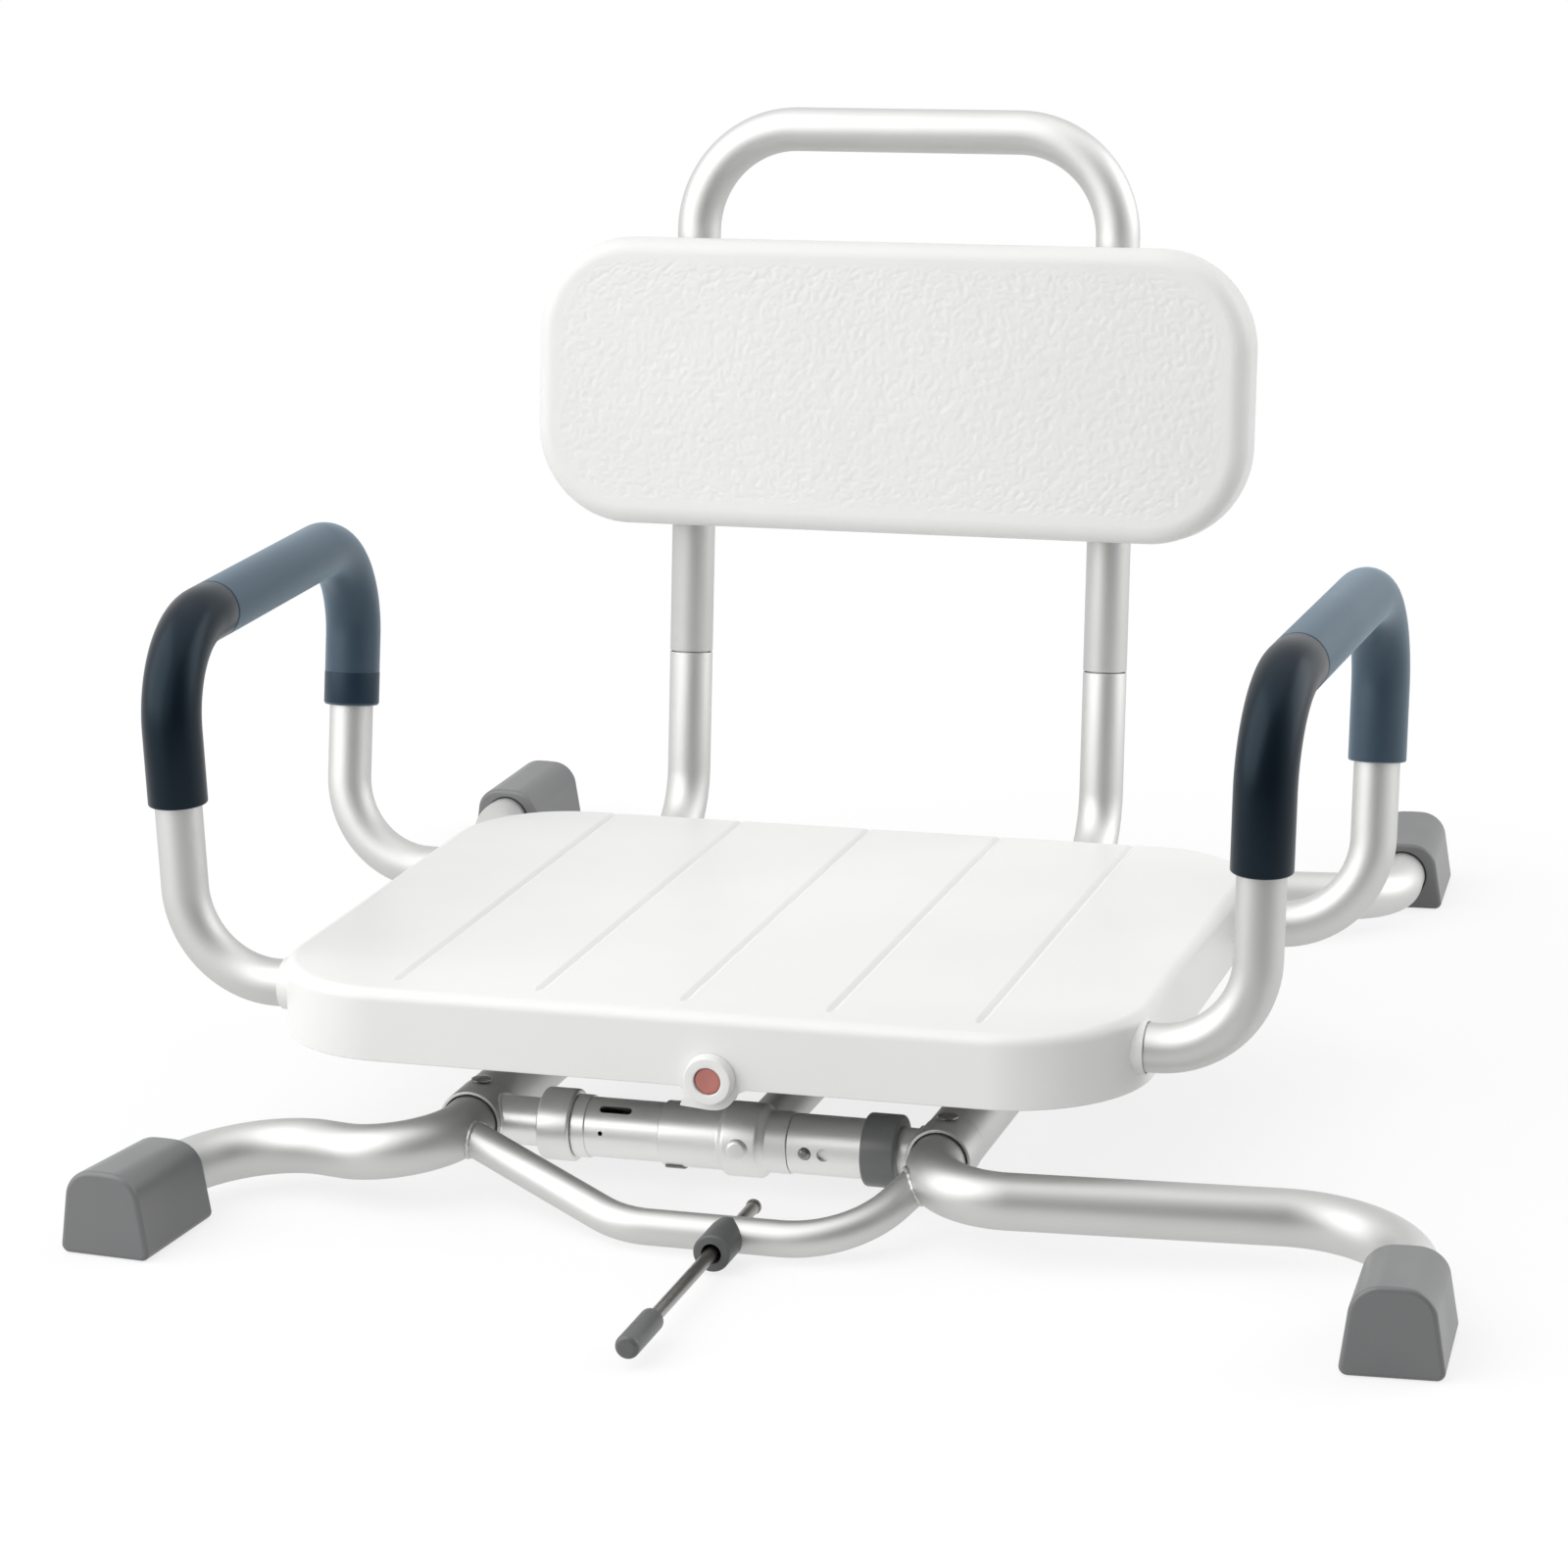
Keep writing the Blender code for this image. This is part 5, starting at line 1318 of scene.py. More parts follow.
    def sockets(self) -> list[Mesh]:
        """The sockets of the arms and posts, and the lips where the arms come out of the skirt."""
        reach = 0.0150
        arms, posts, lips = [], [], []
        for side in Side:
            sign = side.value
            low, high = sorted(sign * end for end in self.arm_socket)
            for y, z in self.arm_places:
                arms.append(prism("socket", self.socket_outline(y, z), low, high, Axis.X))
                profile = rounded_profile(
                    [(0.0, 0.0), (0.0, self.lip_radius), (reach + self.lip_out, self.lip_radius),
                     (reach + self.lip_out, 0.0)], 0.0003)
                start = (sign * (self.width / 2 - reach), y, z)
                lips.append(turned("lip", start, (sign, 0.0, 0.0), profile))
            outline = self.socket_outline(sign * self.post_x, self.post_z)
            end = self.rear - self.skin * self.bite
            posts.append(prism("socket", outline, self.post_start, end, Axis.Y))
        return [joined("arm_sockets", arms), joined("post_sockets", posts), joined("lips", lips)]

    def socket_outline(self, middle: float, level: float) -> list[Ring]:
        """A socket seen from its end: round below and straight up to the deck.

        Args:
            middle: Where it stands.
            level: Height of its bore's middle.

        Returns:
            The outline's points.
        """
        radius, top = self.socket_radius, self.bond_z
        lower = arc((middle, level), radius, 180, 360, 20)
        return lower + [(middle + radius, top), (middle - radius, top)]

    def grooves(self) -> Mesh:
        """Cutters for the soft grooves between the slats."""
        half = self.groove_width / 2
        depth = self.groove_depth
        left = [
            (-half * 5, depth * 3), (-half * 1.25, depth * 0.02), (-half * 0.72, -depth * 0.20),
            (-half * 0.40, -depth * 0.72),
        ]
        line = left + [(0.0, -depth)] + [(-u, w) for u, w in reversed(left)]
        start = self.front + self.groove_start
        places = ((start, 1.05), (start + 0.0025, 0.35), (start + 0.006, 0.0), (self.rear + 0.004, 0.0))
        return joined("grooves", [
            loft("groove", [
                [(x + u, y, self.top_z + w + depth * rise) for u, w in line] for y, rise in places
            ])
            for x in self.slat_lines()
        ])

    def bores(self) -> list[Mesh]:
        """Cutters for the arms, the posts, the catch screw, the push rod and the button housing."""
        arms, posts = [], []
        for side in Side:
            sign = side.value
            for y, z in self.arm_places:
                arms.append(rod((sign * 0.121, y, z), (sign, 0.0, 0.0), self.socket_bore, 0.1))
            start = (sign * self.post_x, 0.045, self.post_z)
            posts.append(rod(start, ALONG_Y, self.socket_bore, 0.1))
        x, z = self.button
        small = [
            rod((x, -0.034, 0.0782), ALONG_Z, 0.0022, 0.012, 16),
            rod((x, -0.153, z), ALONG_Y, 0.0035, 0.006, 16),
            rod((x, self.front - 0.002, z), ALONG_Y, self.housing_hole, 0.0092, 48),
        ]
        return [joined("arm_bores", arms), joined("post_bores", posts), joined("small_bores", small)]

    def build(self, shop: Workshop) -> None:
        """Builds the moulding.

        Args:
            shop: Where the piece goes.
        """
        steps = [(Carve.JOIN, self.ribs()), (Carve.JOIN, self.fittings()), (Carve.JOIN, self.tab())]
        steps += [(Carve.JOIN, shape) for shape in self.sockets()]
        steps += [(Carve.CUT, self.grooves())]
        steps += [(Carve.CUT, shape) for shape in self.bores()]
        shop.add("seat_moulding", carved(self.shell(), steps), "seat_shell", crease=32.0, weighted=True)


@dataclass
class ReleaseButton:
    """The button in the front skirt and the ring that guides it."""

    place: Ring = BUTTON_PLACE
    front: float = -0.2008
    radius: float = 0.006
    sunk: float = 0.001
    length: float = 0.010
    ring: float = 0.01175
    flange: float = 0.0055
    neck: float = 0.0085
    depth: float = 0.0175

    def build(self, shop: Workshop) -> None:
        """Builds the ring and the button.

        Args:
            shop: Where the pieces go.
        """
        x, z = self.place
        bore = self.radius + GAP
        corners = [
            (self.depth, bore), (0.0, bore), (0.0, self.ring - 0.0010), (self.flange, self.ring),
            (self.flange, self.neck), (self.depth, self.neck),
        ]
        profile = rounded_profile(corners, 0.0006, 15.0)
        ring = turned("button_ring", (x, self.front, z), ALONG_Y, profile, sides=72, closed=True)
        shop.add("button_ring", ring, "button_housing")
        radius = self.radius
        profile = [
            (0.0005, 0.0), (0.0004, radius * 0.3), (0.0001, radius * 0.7), (0.0, radius * 0.84),
            (0.0002, radius * 0.94), (0.0007, radius), (self.length, radius), (self.length, 0.0),
        ]
        button = turned("button_face", (x, self.front + self.sunk, z), ALONG_Y, profile, 72)
        shop.add("button_face", button, "release_button")


def spine_distance(point: Vector, spine: Sequence[Vector]) -> float:
    """Distance from a point to the nearest place on a line of points."""
    nearest = math.inf
    for first, second in zip(spine, spine[1:]):
        run = second - first
        share = min(1.0, max(0.0, (point - first).dot(run) / run.dot(run)))
        nearest = min(nearest, (point - first - run * share).length)
    return nearest


def weld_bead(
    start: Vector, direction: Vector, radius: float, spine: Sequence[Vector], trunk: float,
    size: float = 0.0012, steps: int = 56,
) -> Mesh:
    """A thin weld bead where a straight tube meets the side of a thicker one.

    Args:
        start: A point of the tube's middle line inside the thicker one.
        direction: The tube's direction, away from the thicker one.
        radius: Outer radius of the tube.
        spine: The thicker tube's middle line.
        trunk: Outer radius of the thicker tube.
        size: Radius of the bead.
        steps: Points round the bead.

    Returns:
        The new mesh.
    """
    way = direction.normalized()
    side = way.orthogonal().normalized()
    up = way.cross(side)
    sides, halvings = 10, 24
    centre = []
    for step in range(steps):
        turn = math.tau * step / steps
        point = start + (side * math.cos(turn) + up * math.sin(turn)) * radius
        inside, outside = -0.010, 0.050
        for _ in range(halvings):
            middle = (inside + outside) / 2
            if spine_distance(point + way * middle, spine) < trunk:
                inside = middle
            else:
                outside = middle
        centre.append(point + way * inside)
    bm = bmesh.new()
    rings = []
    for step, point in enumerate(centre):
        tangent = (centre[(step + 1) % steps] - centre[step - 1]).normalized()
        out = point - start - way * (point - start).dot(way)
        out = (out - tangent * out.dot(tangent)).normalized()
        other = tangent.cross(out)
        swell = size * (1.0 + 0.16 * math.sin(step * 1.9) + 0.08 * math.sin(step * 4.3))
        rings.append([
            bm.verts.new(point + (out * math.cos(turn) + other * math.sin(turn)) * swell)
            for turn in (math.tau * index / sides for index in range(sides))
        ])
    for first, second in zip(rings, rings[1:] + rings[:1]):
        skin(bm, first, second)
    return finished_mesh("weld", bm)


@dataclass
class Chassis:
    """The fixed part of the base: sleeves, cross tubes with their fittings, and the centre rail."""

    sleeve_x: float = SLEEVE_X
    sleeve_z: float = SLEEVE_Z
    mouth: float = SLEEVE_MOUTH
    bore: float = 0.0132
    sleeve: float = 0.0146
    bush: float = 0.0150
    bush_length: float = 0.0225
    groove: float = 0.0004
    screw_y: float = 0.139
    cross_y: float = 0.143
    cross_z: float = 0.0285
    cross: float = 0.0138
    wall: float = 0.0015
    stub: float = 0.0113
    plug: float = 0.0106
    plug_length: float = 0.014
    rear_cross: float = 0.0125
    rail_x: float = 0.0215
    rail: float = 0.0105
    left_collar: tuple[float, float] = (-0.0787, -0.0629)
    ring_end: float = -0.0562
    right_collar: tuple[float, float] = (0.0758, 0.0920)
    shelf: float = 0.0078
    collar: float = 0.0168
    slot: tuple[float, float] = (-0.0500, -0.0344)
    slot_half: float = 0.0019
    slot_turn: float = 34.0
    pin_hole: float = 0.0011
    tee: tuple[float, float] = (-0.0202, 0.0407)
    bulge: tuple[float, float] = (0.0085, 0.0300)
    tee_radius: float = 0.0150
    bulge_radius: float = 0.0172
    neck: float = 0.0143
    cap: tuple[float, float] = (0.0185, 0.00425)
    snap_x: float = 0.0495
    snap_hole_x: float = 0.0582
    snap: float = 0.0027
    trim: float = 0.0004

    def build(self, shop: Workshop) -> None:
        """Builds every piece of the chassis.

        Args:
            shop: Where the pieces go.
        """
        for side in Side:
            self.build_sleeve(shop, side)
        self.build_left_tube(shop)
        self.build_right_tube(shop)
        self.build_collars(shop)
        self.build_tee(shop)
        self.build_rear(shop)

    def build_sleeve(self, shop: Workshop, side: Side) -> None:
        """Builds one sleeve with its thicker mouths and the screw holes."""
        inner = self.mouth - self.bush_length
        low = self.sleeve - self.groove
        half = [
            (self.mouth - 0.0010, self.bore), (self.mouth, self.bore + 0.0004),
            (self.mouth, self.bush - 0.0007), (self.mouth - 0.0002, self.bush - 0.0002),
            (self.mouth - 0.0007, self.bush), (inner + 0.0002, self.bush),
            (inner, self.bush - 0.0002), (inner, low), (inner - self.groove * 2, low),
            (inner - self.groove * 2 - 0.0002, self.sleeve),
        ]
        profile = half + [(-along, radius) for along, radius in reversed(half)]
        name = f"{side.word}_sleeve_tube"
        x = side.value * self.sleeve_x
        mesh = turned(name, (x, 0.0, self.sleeve_z), ALONG_Y, profile, sides=72, closed=True)
        holes = [
            rod((x, y, self.sleeve_z), ALONG_Z, 0.0030, 0.03, 24)
            for y in (-self.screw_y, self.screw_y)
        ]
        shop.add(name, carved(mesh, [(Carve.CUT, joined("holes", holes))]), f"{side.word}_sleeve")

    def trimmed(self, mesh: Mesh, *cutters: Mesh) -> Mesh:
        """Cuts a tube where it meets the sleeves, and then its holes.

        Args:
            mesh: The tube's mesh.
            cutters: The shapes of its holes.

        Returns:
            The worked mesh.
        """
        sleeves = joined("trims", [
            rod((side.value * self.sleeve_x, -self.mouth, self.sleeve_z), ALONG_Y,
                self.sleeve - self.trim, self.mouth * 2, 72)
            for side in Side
        ])
        return carved(mesh, [(Carve.CUT, shape) for shape in (sleeves, *cutters)])

    def welds(self, radius: float, y: float, sides: Sequence[Side]) -> list[Mesh]:
        """The weld beads where a cross tube meets the sleeves.

        Args:
            radius: Outer radius of the cross tube.
            y: Where it stands.
            sides: The sleeves that it meets.

        Returns:
            The beads.
        """
        beads = []
        for side in sides:
            x = side.value * self.sleeve_x
            spine = [Vector((x, -self.mouth, self.sleeve_z)), Vector((x, self.mouth, self.sleeve_z))]
            start = Vector((x, y, self.cross_z))
            way = Vector((-side.value, 0.0, 0.0))
            beads.append(weld_bead(start, way, radius, spine, self.sleeve))
        return beads

    def build_left_tube(self, shop: Workshop) -> None:
        """Builds the left cross tube with its narrow ring and its slot."""
        bore = self.cross - self.wall
        step = self.left_collar[1] - self.shelf
        ring = self.cross + 0.0008
        start = self.left_collar[1] + GAP
        end = self.tee[0] - GAP
        outer = [
            (-self.sleeve_x, self.stub), (step, self.stub), (step, self.cross), (start, self.cross),
            (start, ring - 0.0002), (start + 0.0002, ring), (self.ring_end - 0.0003, ring),
            (self.ring_end, ring - 0.0003), (self.ring_end, self.cross), (end, self.cross),
            (end, self.plug), (self.tee[0] + self.plug_length, self.plug),
        ]
        inner = [
            (self.tee[0] + self.plug_length, self.plug - self.wall),
            (end - self.wall, self.plug - self.wall), (end - self.wall, bore), (step + self.wall, bore),
            (step + self.wall, self.stub - self.wall), (-self.sleeve_x, self.stub - self.wall),
        ]
        name = "left_cross_tube"
        mesh = turned(name, self.middle, ALONG_X, outer + inner, sides=72, closed=True)
        half = self.slot_half
        near, far = self.slot[1] - half, self.slot[0] + half
        slot = arc((near, 0.0), half, -90, 90, 8) + arc((far, 0.0), half, 90, 270, 8)
        cutter = prism("slot", slot, 0.0, 0.02)
        turn = Matrix.Rotation(math.radians(self.slot_turn), 4, "X")
        cutter.transform(Matrix.Translation(self.middle) @ turn)
        place = (far, -self.cross_y - 0.02, self.cross_z + 0.0016)
        pin = rod(place, ALONG_Y, self.pin_hole, 0.02, 20)
        mesh = self.trimmed(mesh, cutter, pin)
        welds = self.welds(self.stub, -self.cross_y, [Side.LEFT])
        # The tube takes the lighter aluminium, painted light against the seat's shadow.
        shop.add(name, joined(name, [mesh, *welds]), "cross_tube_left", look=Look.CROSS_TUBE)

    def build_right_tube(self, shop: Workshop) -> None:
        """Builds the right cross tube with its two snap holes."""
        bore = self.cross - self.wall
        step = self.right_collar[0] + self.shelf
        end = self.tee[1] + GAP
        outer = [
            (self.tee[1] - self.plug_length, self.plug), (end, self.plug), (end, self.cross),
            (step, self.cross), (step, self.stub), (self.sleeve_x, self.stub),
        ]
        inner = [
            (self.sleeve_x, self.stub - self.wall), (step - self.wall, self.stub - self.wall),
            (step - self.wall, bore), (end + self.wall, bore), (end + self.wall, self.plug - self.wall),
            (self.tee[1] - self.plug_length, self.plug - self.wall),
        ]
        name = "right_cross_tube"
        mesh = turned(name, self.middle, ALONG_X, outer + inner, sides=72, closed=True)
        holes = [
            rod((x, -self.cross_y - 0.016, self.cross_z), ALONG_Y, self.snap + GAP, 0.008, 24)
            for x in (self.snap_x, self.snap_hole_x)
        ]
        mesh = self.trimmed(mesh, joined("holes", holes))
        welds = self.welds(self.stub, -self.cross_y, [Side.RIGHT])
        low, high = end + self.wall * 2, step - self.wall * 2
        outer, inner = bore - 0.0002, bore - 0.0010
        profile = [(low, outer), (high, outer), (high, inner), (low, inner)]
        liner = turned("liner", self.middle, ALONG_X, profile, sides=56, closed=True)
        # The tube takes the lighter aluminium, painted light against the seat's shadow.
        shop.add(
            name, joined(name, [mesh, liner, *welds]), "cross_tube_right", look=Look.CROSS_TUBE)

    @property
    def middle(self) -> tuple[float, float, float]:
        """The middle of the front cross tube."""
        return (0.0, -self.cross_y, self.cross_z)

    def build_collars(self, shop: Workshop) -> None:
        """Builds the two clamp collars."""
        wide, narrow = self.cross + GAP, self.stub + GAP
        left, right = self.left_collar, self.right_collar
        for side, ends, step, radii, look in (
            (Side.LEFT, left, left[1] - self.shelf - GAP, (narrow, wide), None),
            (Side.RIGHT, right, right[0] + self.shelf + GAP, (wide, narrow), Look.GREY_MOULDING),
        ):
            low, high = ends
            first, last = radii
            outer = rounded_profile(
                [(low, first), (low, self.collar), (high, self.collar), (high, last)], 0.0013, 18.0)
            profile = outer + [(step, last), (step, first)]
            name = f"{side.word}_clamp_collar"
            mesh = turned(name, self.middle, ALONG_X, profile, sides=72, closed=True)
            shop.add(name, mesh, f"cross_collar_{side.word}", look=look)

    def build_tee(self, shop: Workshop) -> None:
        """Builds the cast tee with its bulge, and the round cap on it."""
        bore = self.plug + GAP
        low, high = self.bulge
        left, right = self.tee
        corners = [
            (left, bore), (left, self.tee_radius), (low - 0.0004, self.tee_radius),
            (low + 0.0024, self.bulge_radius), (high - 0.0028, self.bulge_radius), (high, self.neck),
            (right, self.neck), (right, bore),
        ]
        profile = rounded_profile(corners, [0.0007, 0.0020, 0.0022, 0.0028, 0.0016, 0.0006], 12.0)
        mesh = turned("cast_tee", self.middle, ALONG_X, profile, sides=72, closed=True)
        outer = -self.cross_y - self.bulge_radius
        x, radius = self.cap
        hole = rod((x, outer - 0.002, self.cross_z), ALONG_Y, radius + GAP, 0.009, 32)
        shop.add("cast_tee", carved(mesh, [(Carve.CUT, hole)]), "cross_tee")
        corners = [
            (0.0045, radius), (0.0008, radius), (0.0008, radius + 0.0011),
            (-0.0001, radius + 0.0010), (-0.0012, radius - 0.0003), (-0.0013, 0.0),
        ]
        profile = rounded_profile(corners, [0.0, 0.0, 0.0003, 0.0016], 12.0) + [(0.0045, 0.0)]
        mesh = turned("cast_tee_cap", (x, outer, self.cross_z), ALONG_Y, profile)
        shop.add("cast_tee_cap", mesh, "tee_cap")
        low = self.tee_radius + 0.0001
        centre = self.middle[1:]
        outline = arc(centre, low, 236, 292, 12) + arc(centre, low + 0.0009, 292, 236, 12)
        clip = prism("tee_clip", outline, left + 0.0016, left + 0.0096, Axis.X)
        shop.add("tee_clip", clip, like="cross_tee", look=Look.DARK_MOULDING)

    def build_rear(self, shop: Workshop) -> None:
        """Builds the rear cross tube and the centre rail."""
        radius = self.rear_cross
        ends = [(-self.sleeve_x, radius), (self.sleeve_x, radius)]
        profile = ends + [(self.sleeve_x, radius - self.wall), (-self.sleeve_x, radius - self.wall)]
        middle = (0.0, self.cross_y, self.cross_z)
        mesh = turned("rear_cross_bar", middle, ALONG_X, profile, sides=72, closed=True)
        welds = self.welds(radius, self.cross_y, list(Side))
        mesh = joined("rear_cross_bar", [self.trimmed(mesh), *welds])
        shop.add("rear_cross_bar", mesh, "rear_cross_tube")
        radius = self.rail
        start = (self.rail_x, -self.cross_y, self.cross_z)
        length = self.cross_y * 2
        bore = radius - self.wall
        profile = [(0.0, radius), (length, radius), (length, bore), (0.0, bore)]
        mesh = turned("middle_rail", start, ALONG_Y, profile, sides=56, closed=True)
        ends = [
            rod((-0.04, y, self.cross_z), ALONG_X, radius, 0.12, 72)
            for y, radius in ((-self.cross_y, self.bulge_radius), (self.cross_y, self.rear_cross))
        ]
        shop.add("middle_rail", carved(mesh, [(Carve.CUT, joined("ends", ends))]), "centre_rail")


@dataclass
class BasePlate:
    """The bearing's lower plate, folded down over the sleeves and cut round at its corners."""

    half: float = 0.1299
    thick: float = 0.003
    low: float = 0.0349
    level: float = 0.0449
    length: float = 0.118
    corner: float = 0.048
    spindle: float = 0.0065

    def build(self, shop: Workshop) -> None:
        """Builds the plate.

        Args:
            shop: Where the piece goes.
        """
        inner = self.half - self.thick
        top = self.level + self.thick
        outline = [
            (-self.half, self.low), (-inner, self.low), (-inner, self.level), (inner, self.level),
            (inner, self.low), (self.half, self.low), (self.half, top), (-self.half, top),
        ]
        plate = prism("bearing_plate", outline, -self.length, self.length, Axis.Y)
        x = self.half - self.corner
        y = self.length - self.corner
        plan = []
        for sx, sy, turn in ((1, -1, -90), (1, 1, 0), (-1, 1, 90), (-1, -1, 180)):
            plan += arc((sx * x, sy * y), self.corner, turn, turn + 90, 16)
        hole = rod((0.0, 0.0, self.low), ALONG_Z, self.spindle, 0.02, 32)
        mesh = carved(plate, [
            (Carve.TRIM, prism("plan", plan, self.low - 0.01, top + 0.01)), (Carve.CUT, hole)])
        shop.add("bearing_plate", mesh, "base_plate")


@dataclass
class LegSizes:
    """Sizes of a leg frame that differ between the front and the rear."""

    turn_y: dict[int, float]
    foot_turn_y: dict[int, float]
    reach: dict[int, float]
    tube_z: float
    toe: float
    insert: float
    face_y: float
    bar_y: float
    bar_end_y: float
    tip_y: float
    slot: tuple[float, float]


LEG_SIZES = {
    End.FRONT: LegSizes(
        turn_y={-1: 0.214, 1: 0.203}, foot_turn_y={-1: 0.163, 1: 0.151}, reach={-1: 0.232, 1: 0.334},
        tube_z=0.0175, toe=0.009, insert=0.118, face_y=0.288, bar_y=0.2165, bar_end_y=0.168,
        tip_y=0.357, slot=(0.084, 0.139)),
    End.REAR: LegSizes(
        turn_y={-1: 0.298, 1: 0.298}, foot_turn_y={-1: 0.354, 1: 0.354}, reach={-1: 0.2275, 1: 0.300},
        tube_z=0.019, toe=-0.007, insert=0.090, face_y=0.461, bar_y=0.2875, bar_end_y=0.250,
        tip_y=0.418, slot=(0.111, 0.219)),
}


@dataclass
class LegFrame:
    """One leg frame: two legs with feet, the bar between them and its stop rod."""

    end: End
    sleeve_x: float = SLEEVE_X
    sleeve_z: float = SLEEVE_Z
    mouth: float = SLEEVE_MOUTH
    tube: float = 0.0127
    wall: float = 0.0016
    bend: float = 0.034
    foot_bend: tuple[float, float] = (0.043, 0.052)
    foot_length: float = 0.062
    foot_width: float = 0.045
    foot_height: float = 0.040
    foot_inner: float = 0.0365
    foot_top: float = 0.0335
    foot_low: float = 0.0038
    foot_shoulder: float = 0.0140
    cover: float = 0.046
    foot_edge: float = 0.0024
    bar: float = 0.0082
    bar_wall: float = 0.0014
    bar_z: float = 0.010
    bar_corners: tuple[float, float] = (-0.018, 0.088)
    bar_bend: float = 0.050
    bar_reach: float = 0.008
    stop_x: float = 0.0325
    rod: float = 0.003
    collar: float = 0.0085
    collar_bore: float = 0.0046
    collar_out: float = 0.026
    rod_head: float = 0.0036
    rod_length: float = 0.178
    cap: float = 0.0054
    cap_length: float = 0.034
    cap_cover: float = 0.012
    slot_half: float = 0.0030
    slot_spare: float = 0.0006

    @property
    def sizes(self) -> LegSizes:
        """The sizes of this end."""
        return LEG_SIZES[self.end]

    def side_of(self, sign: int) -> str:
        """The word for the side that a leg stands on, by its own sign."""
        return "left" if (sign < 0) == (self.end is End.FRONT) else "right"

    def leg_points(self, sign: int) -> list[Vector]:
        """The corners of one leg from its inner end to its tip, and the middle of the foot's face.

        Args:
            sign: Which leg, -1 for the short one and 1 for the long one.

        Returns:
            The five points.
        """
        size = self.sizes
        level = size.tube_z
        corner = Vector((sign * (size.reach[sign] - size.toe / 2), size.foot_turn_y[sign], level))
        face = Vector((sign * (size.reach[sign] + size.toe / 2), size.face_y, level))
        tip = face.lerp(corner, (self.foot_length - self.cover) / (face - corner).length)
        points = [
            (sign * self.sleeve_x, self.mouth - size.insert, self.sleeve_z),
            (sign * self.sleeve_x, size.turn_y[sign], self.sleeve_z), corner, tip, face,
        ]
        return [self.end.place(*point) for point in points]

    def build(self, shop: Workshop) -> None:
        """Builds the frame.

        Args:
            shop: Where the pieces go.
        """
        for sign in (-1, 1):
            self.build_leg(shop, sign)
        self.build_bar(shop)
        self.build_stop(shop)

    def leg_route(self, sign: int) -> Route:
        """The middle line of one leg."""
        bends = [self.bend, self.foot_bend[sign > 0]]
        return Route(bent_route(self.leg_points(sign)[:-1], bends, 3.0))

    def build_leg(self, shop: Workshop, sign: int) -> None:
        """Builds one leg and its foot."""
        *corners, face = self.leg_points(sign)
        route = self.leg_route(sign)
        word = f"{self.end.value}_{self.side_of(sign)}"
        mesh = tube(f"{word}_leg_tube", route, self.tube, self.wall, sides=64)
        low, high = self.sizes.slot
        half = self.slot_half
        outline = arc((0.0, high + self.slot_spare), half, 0, 180, 10)
        outline += arc((0.0, low - self.slot_spare), half, 180, 360, 10)
        flip = -1 if self.end is End.FRONT else 1
        outline = [(corners[0].x + u, flip * w) for u, w in outline]
        slot = prism("slot", outline, self.sleeve_z, self.sleeve_z + 0.016)
        shop.add(f"{word}_leg_tube", carved(mesh, [(Carve.CUT, slot)]), f"{word}_leg")
        mesh = self.foot_mesh(f"{word}_rubber_foot")
        inward = corners[2] - face
        turn = Matrix.Rotation(math.atan2(-inward.x, inward.y), 4, "Z")
        mesh.transform(Matrix.Translation((face.x, face.y, 0.0)) @ turn)
        shop.add(f"{word}_rubber_foot", mesh, f"{word}_foot", crease=50.0, weighted=True)

    def foot_outline(self) -> list[Vector]:
        """The outline of a foot: upright sides that lean in a little, and a rounded top."""
        half = self.foot_width / 2
        height = self.foot_height
        corners = [
            (0.0, 0.0, 0.0), (half, 0.0, 0.0), (self.foot_top / 2, height - 0.0004, 0.0),
            (0.0, height, 0.0),
        ]
        side = bent_route(corners, [self.foot_low, self.foot_shoulder], 6.0)
        return side + [Vector((-point.x, point.y, 0.0)) for point in reversed(side[1:-1])]

    @staticmethod
    def foot_loop(outline: Sequence[Vector], y: float, share: float, inset: float) -> list[Vector]:
        """A foot's outline at one place, drawn in by an inset and scaled in height.

        Args:
            outline: The full outline.
            y: Where the loop stands.
            share: Share of the full height.
            inset: How far the outline is drawn in.

        Returns:
            The loop's points.
        """
        loop = []
        for index, point in enumerate(outline):
            run = (outline[(index + 1) % len(outline)] - outline[index - 1]).normalized()
            loop.append(Vector((point.x - run.y * inset, y, (point.y + run.x * inset) * share)))
        return loop

    def foot_mesh(self, name: str) -> Mesh:
        """A foot with its outer face at y = 0 and its body towards +Y, bored for the leg."""
        edge = self.foot_edge
        places = []
        for turn in map(math.radians, range(0, 91, 15)):
            places.append((edge * (1 - math.cos(turn)), edge * (1 - math.sin(turn))))
        places += [(self.foot_length - y, inset) for y, inset in reversed(places)]
        outline = self.foot_outline()
        fall = 1.0 - self.foot_inner / self.foot_height
        loops = [
            self.foot_loop(outline, y, 1.0 - fall * y / self.foot_length, inset) for y, inset in places
        ]
        bore = self.tube + GAP
        depth = self.cover + GAP
        profile = [
            (0.0, 0.0), (0.0, bore), (depth - 0.0016, bore), (depth - 0.0004, bore + 0.0005),
            (depth, bore + 0.0012), (depth + 0.01, bore + 0.0012), (depth + 0.01, 0.0),
        ]
        start = (0.0, self.foot_length - depth, self.sizes.tube_z)
        socket = turned("socket", start, ALONG_Y, profile, 64)
        return carved(loft(name, loops), [(Carve.CUT, socket)])

    def bar_points(self) -> list[Vector]:
        """The corners of the bar between the legs."""
        size = self.sizes
        low, high = self.bar_corners
        return [
            self.end.place(-self.sleeve_x, size.bar_end_y, self.sleeve_z),
            self.end.place(low, size.bar_y, self.bar_z), self.end.place(high, size.bar_y, self.bar_z),
            self.end.place(self.sleeve_x, size.bar_end_y, self.sleeve_z),
        ]

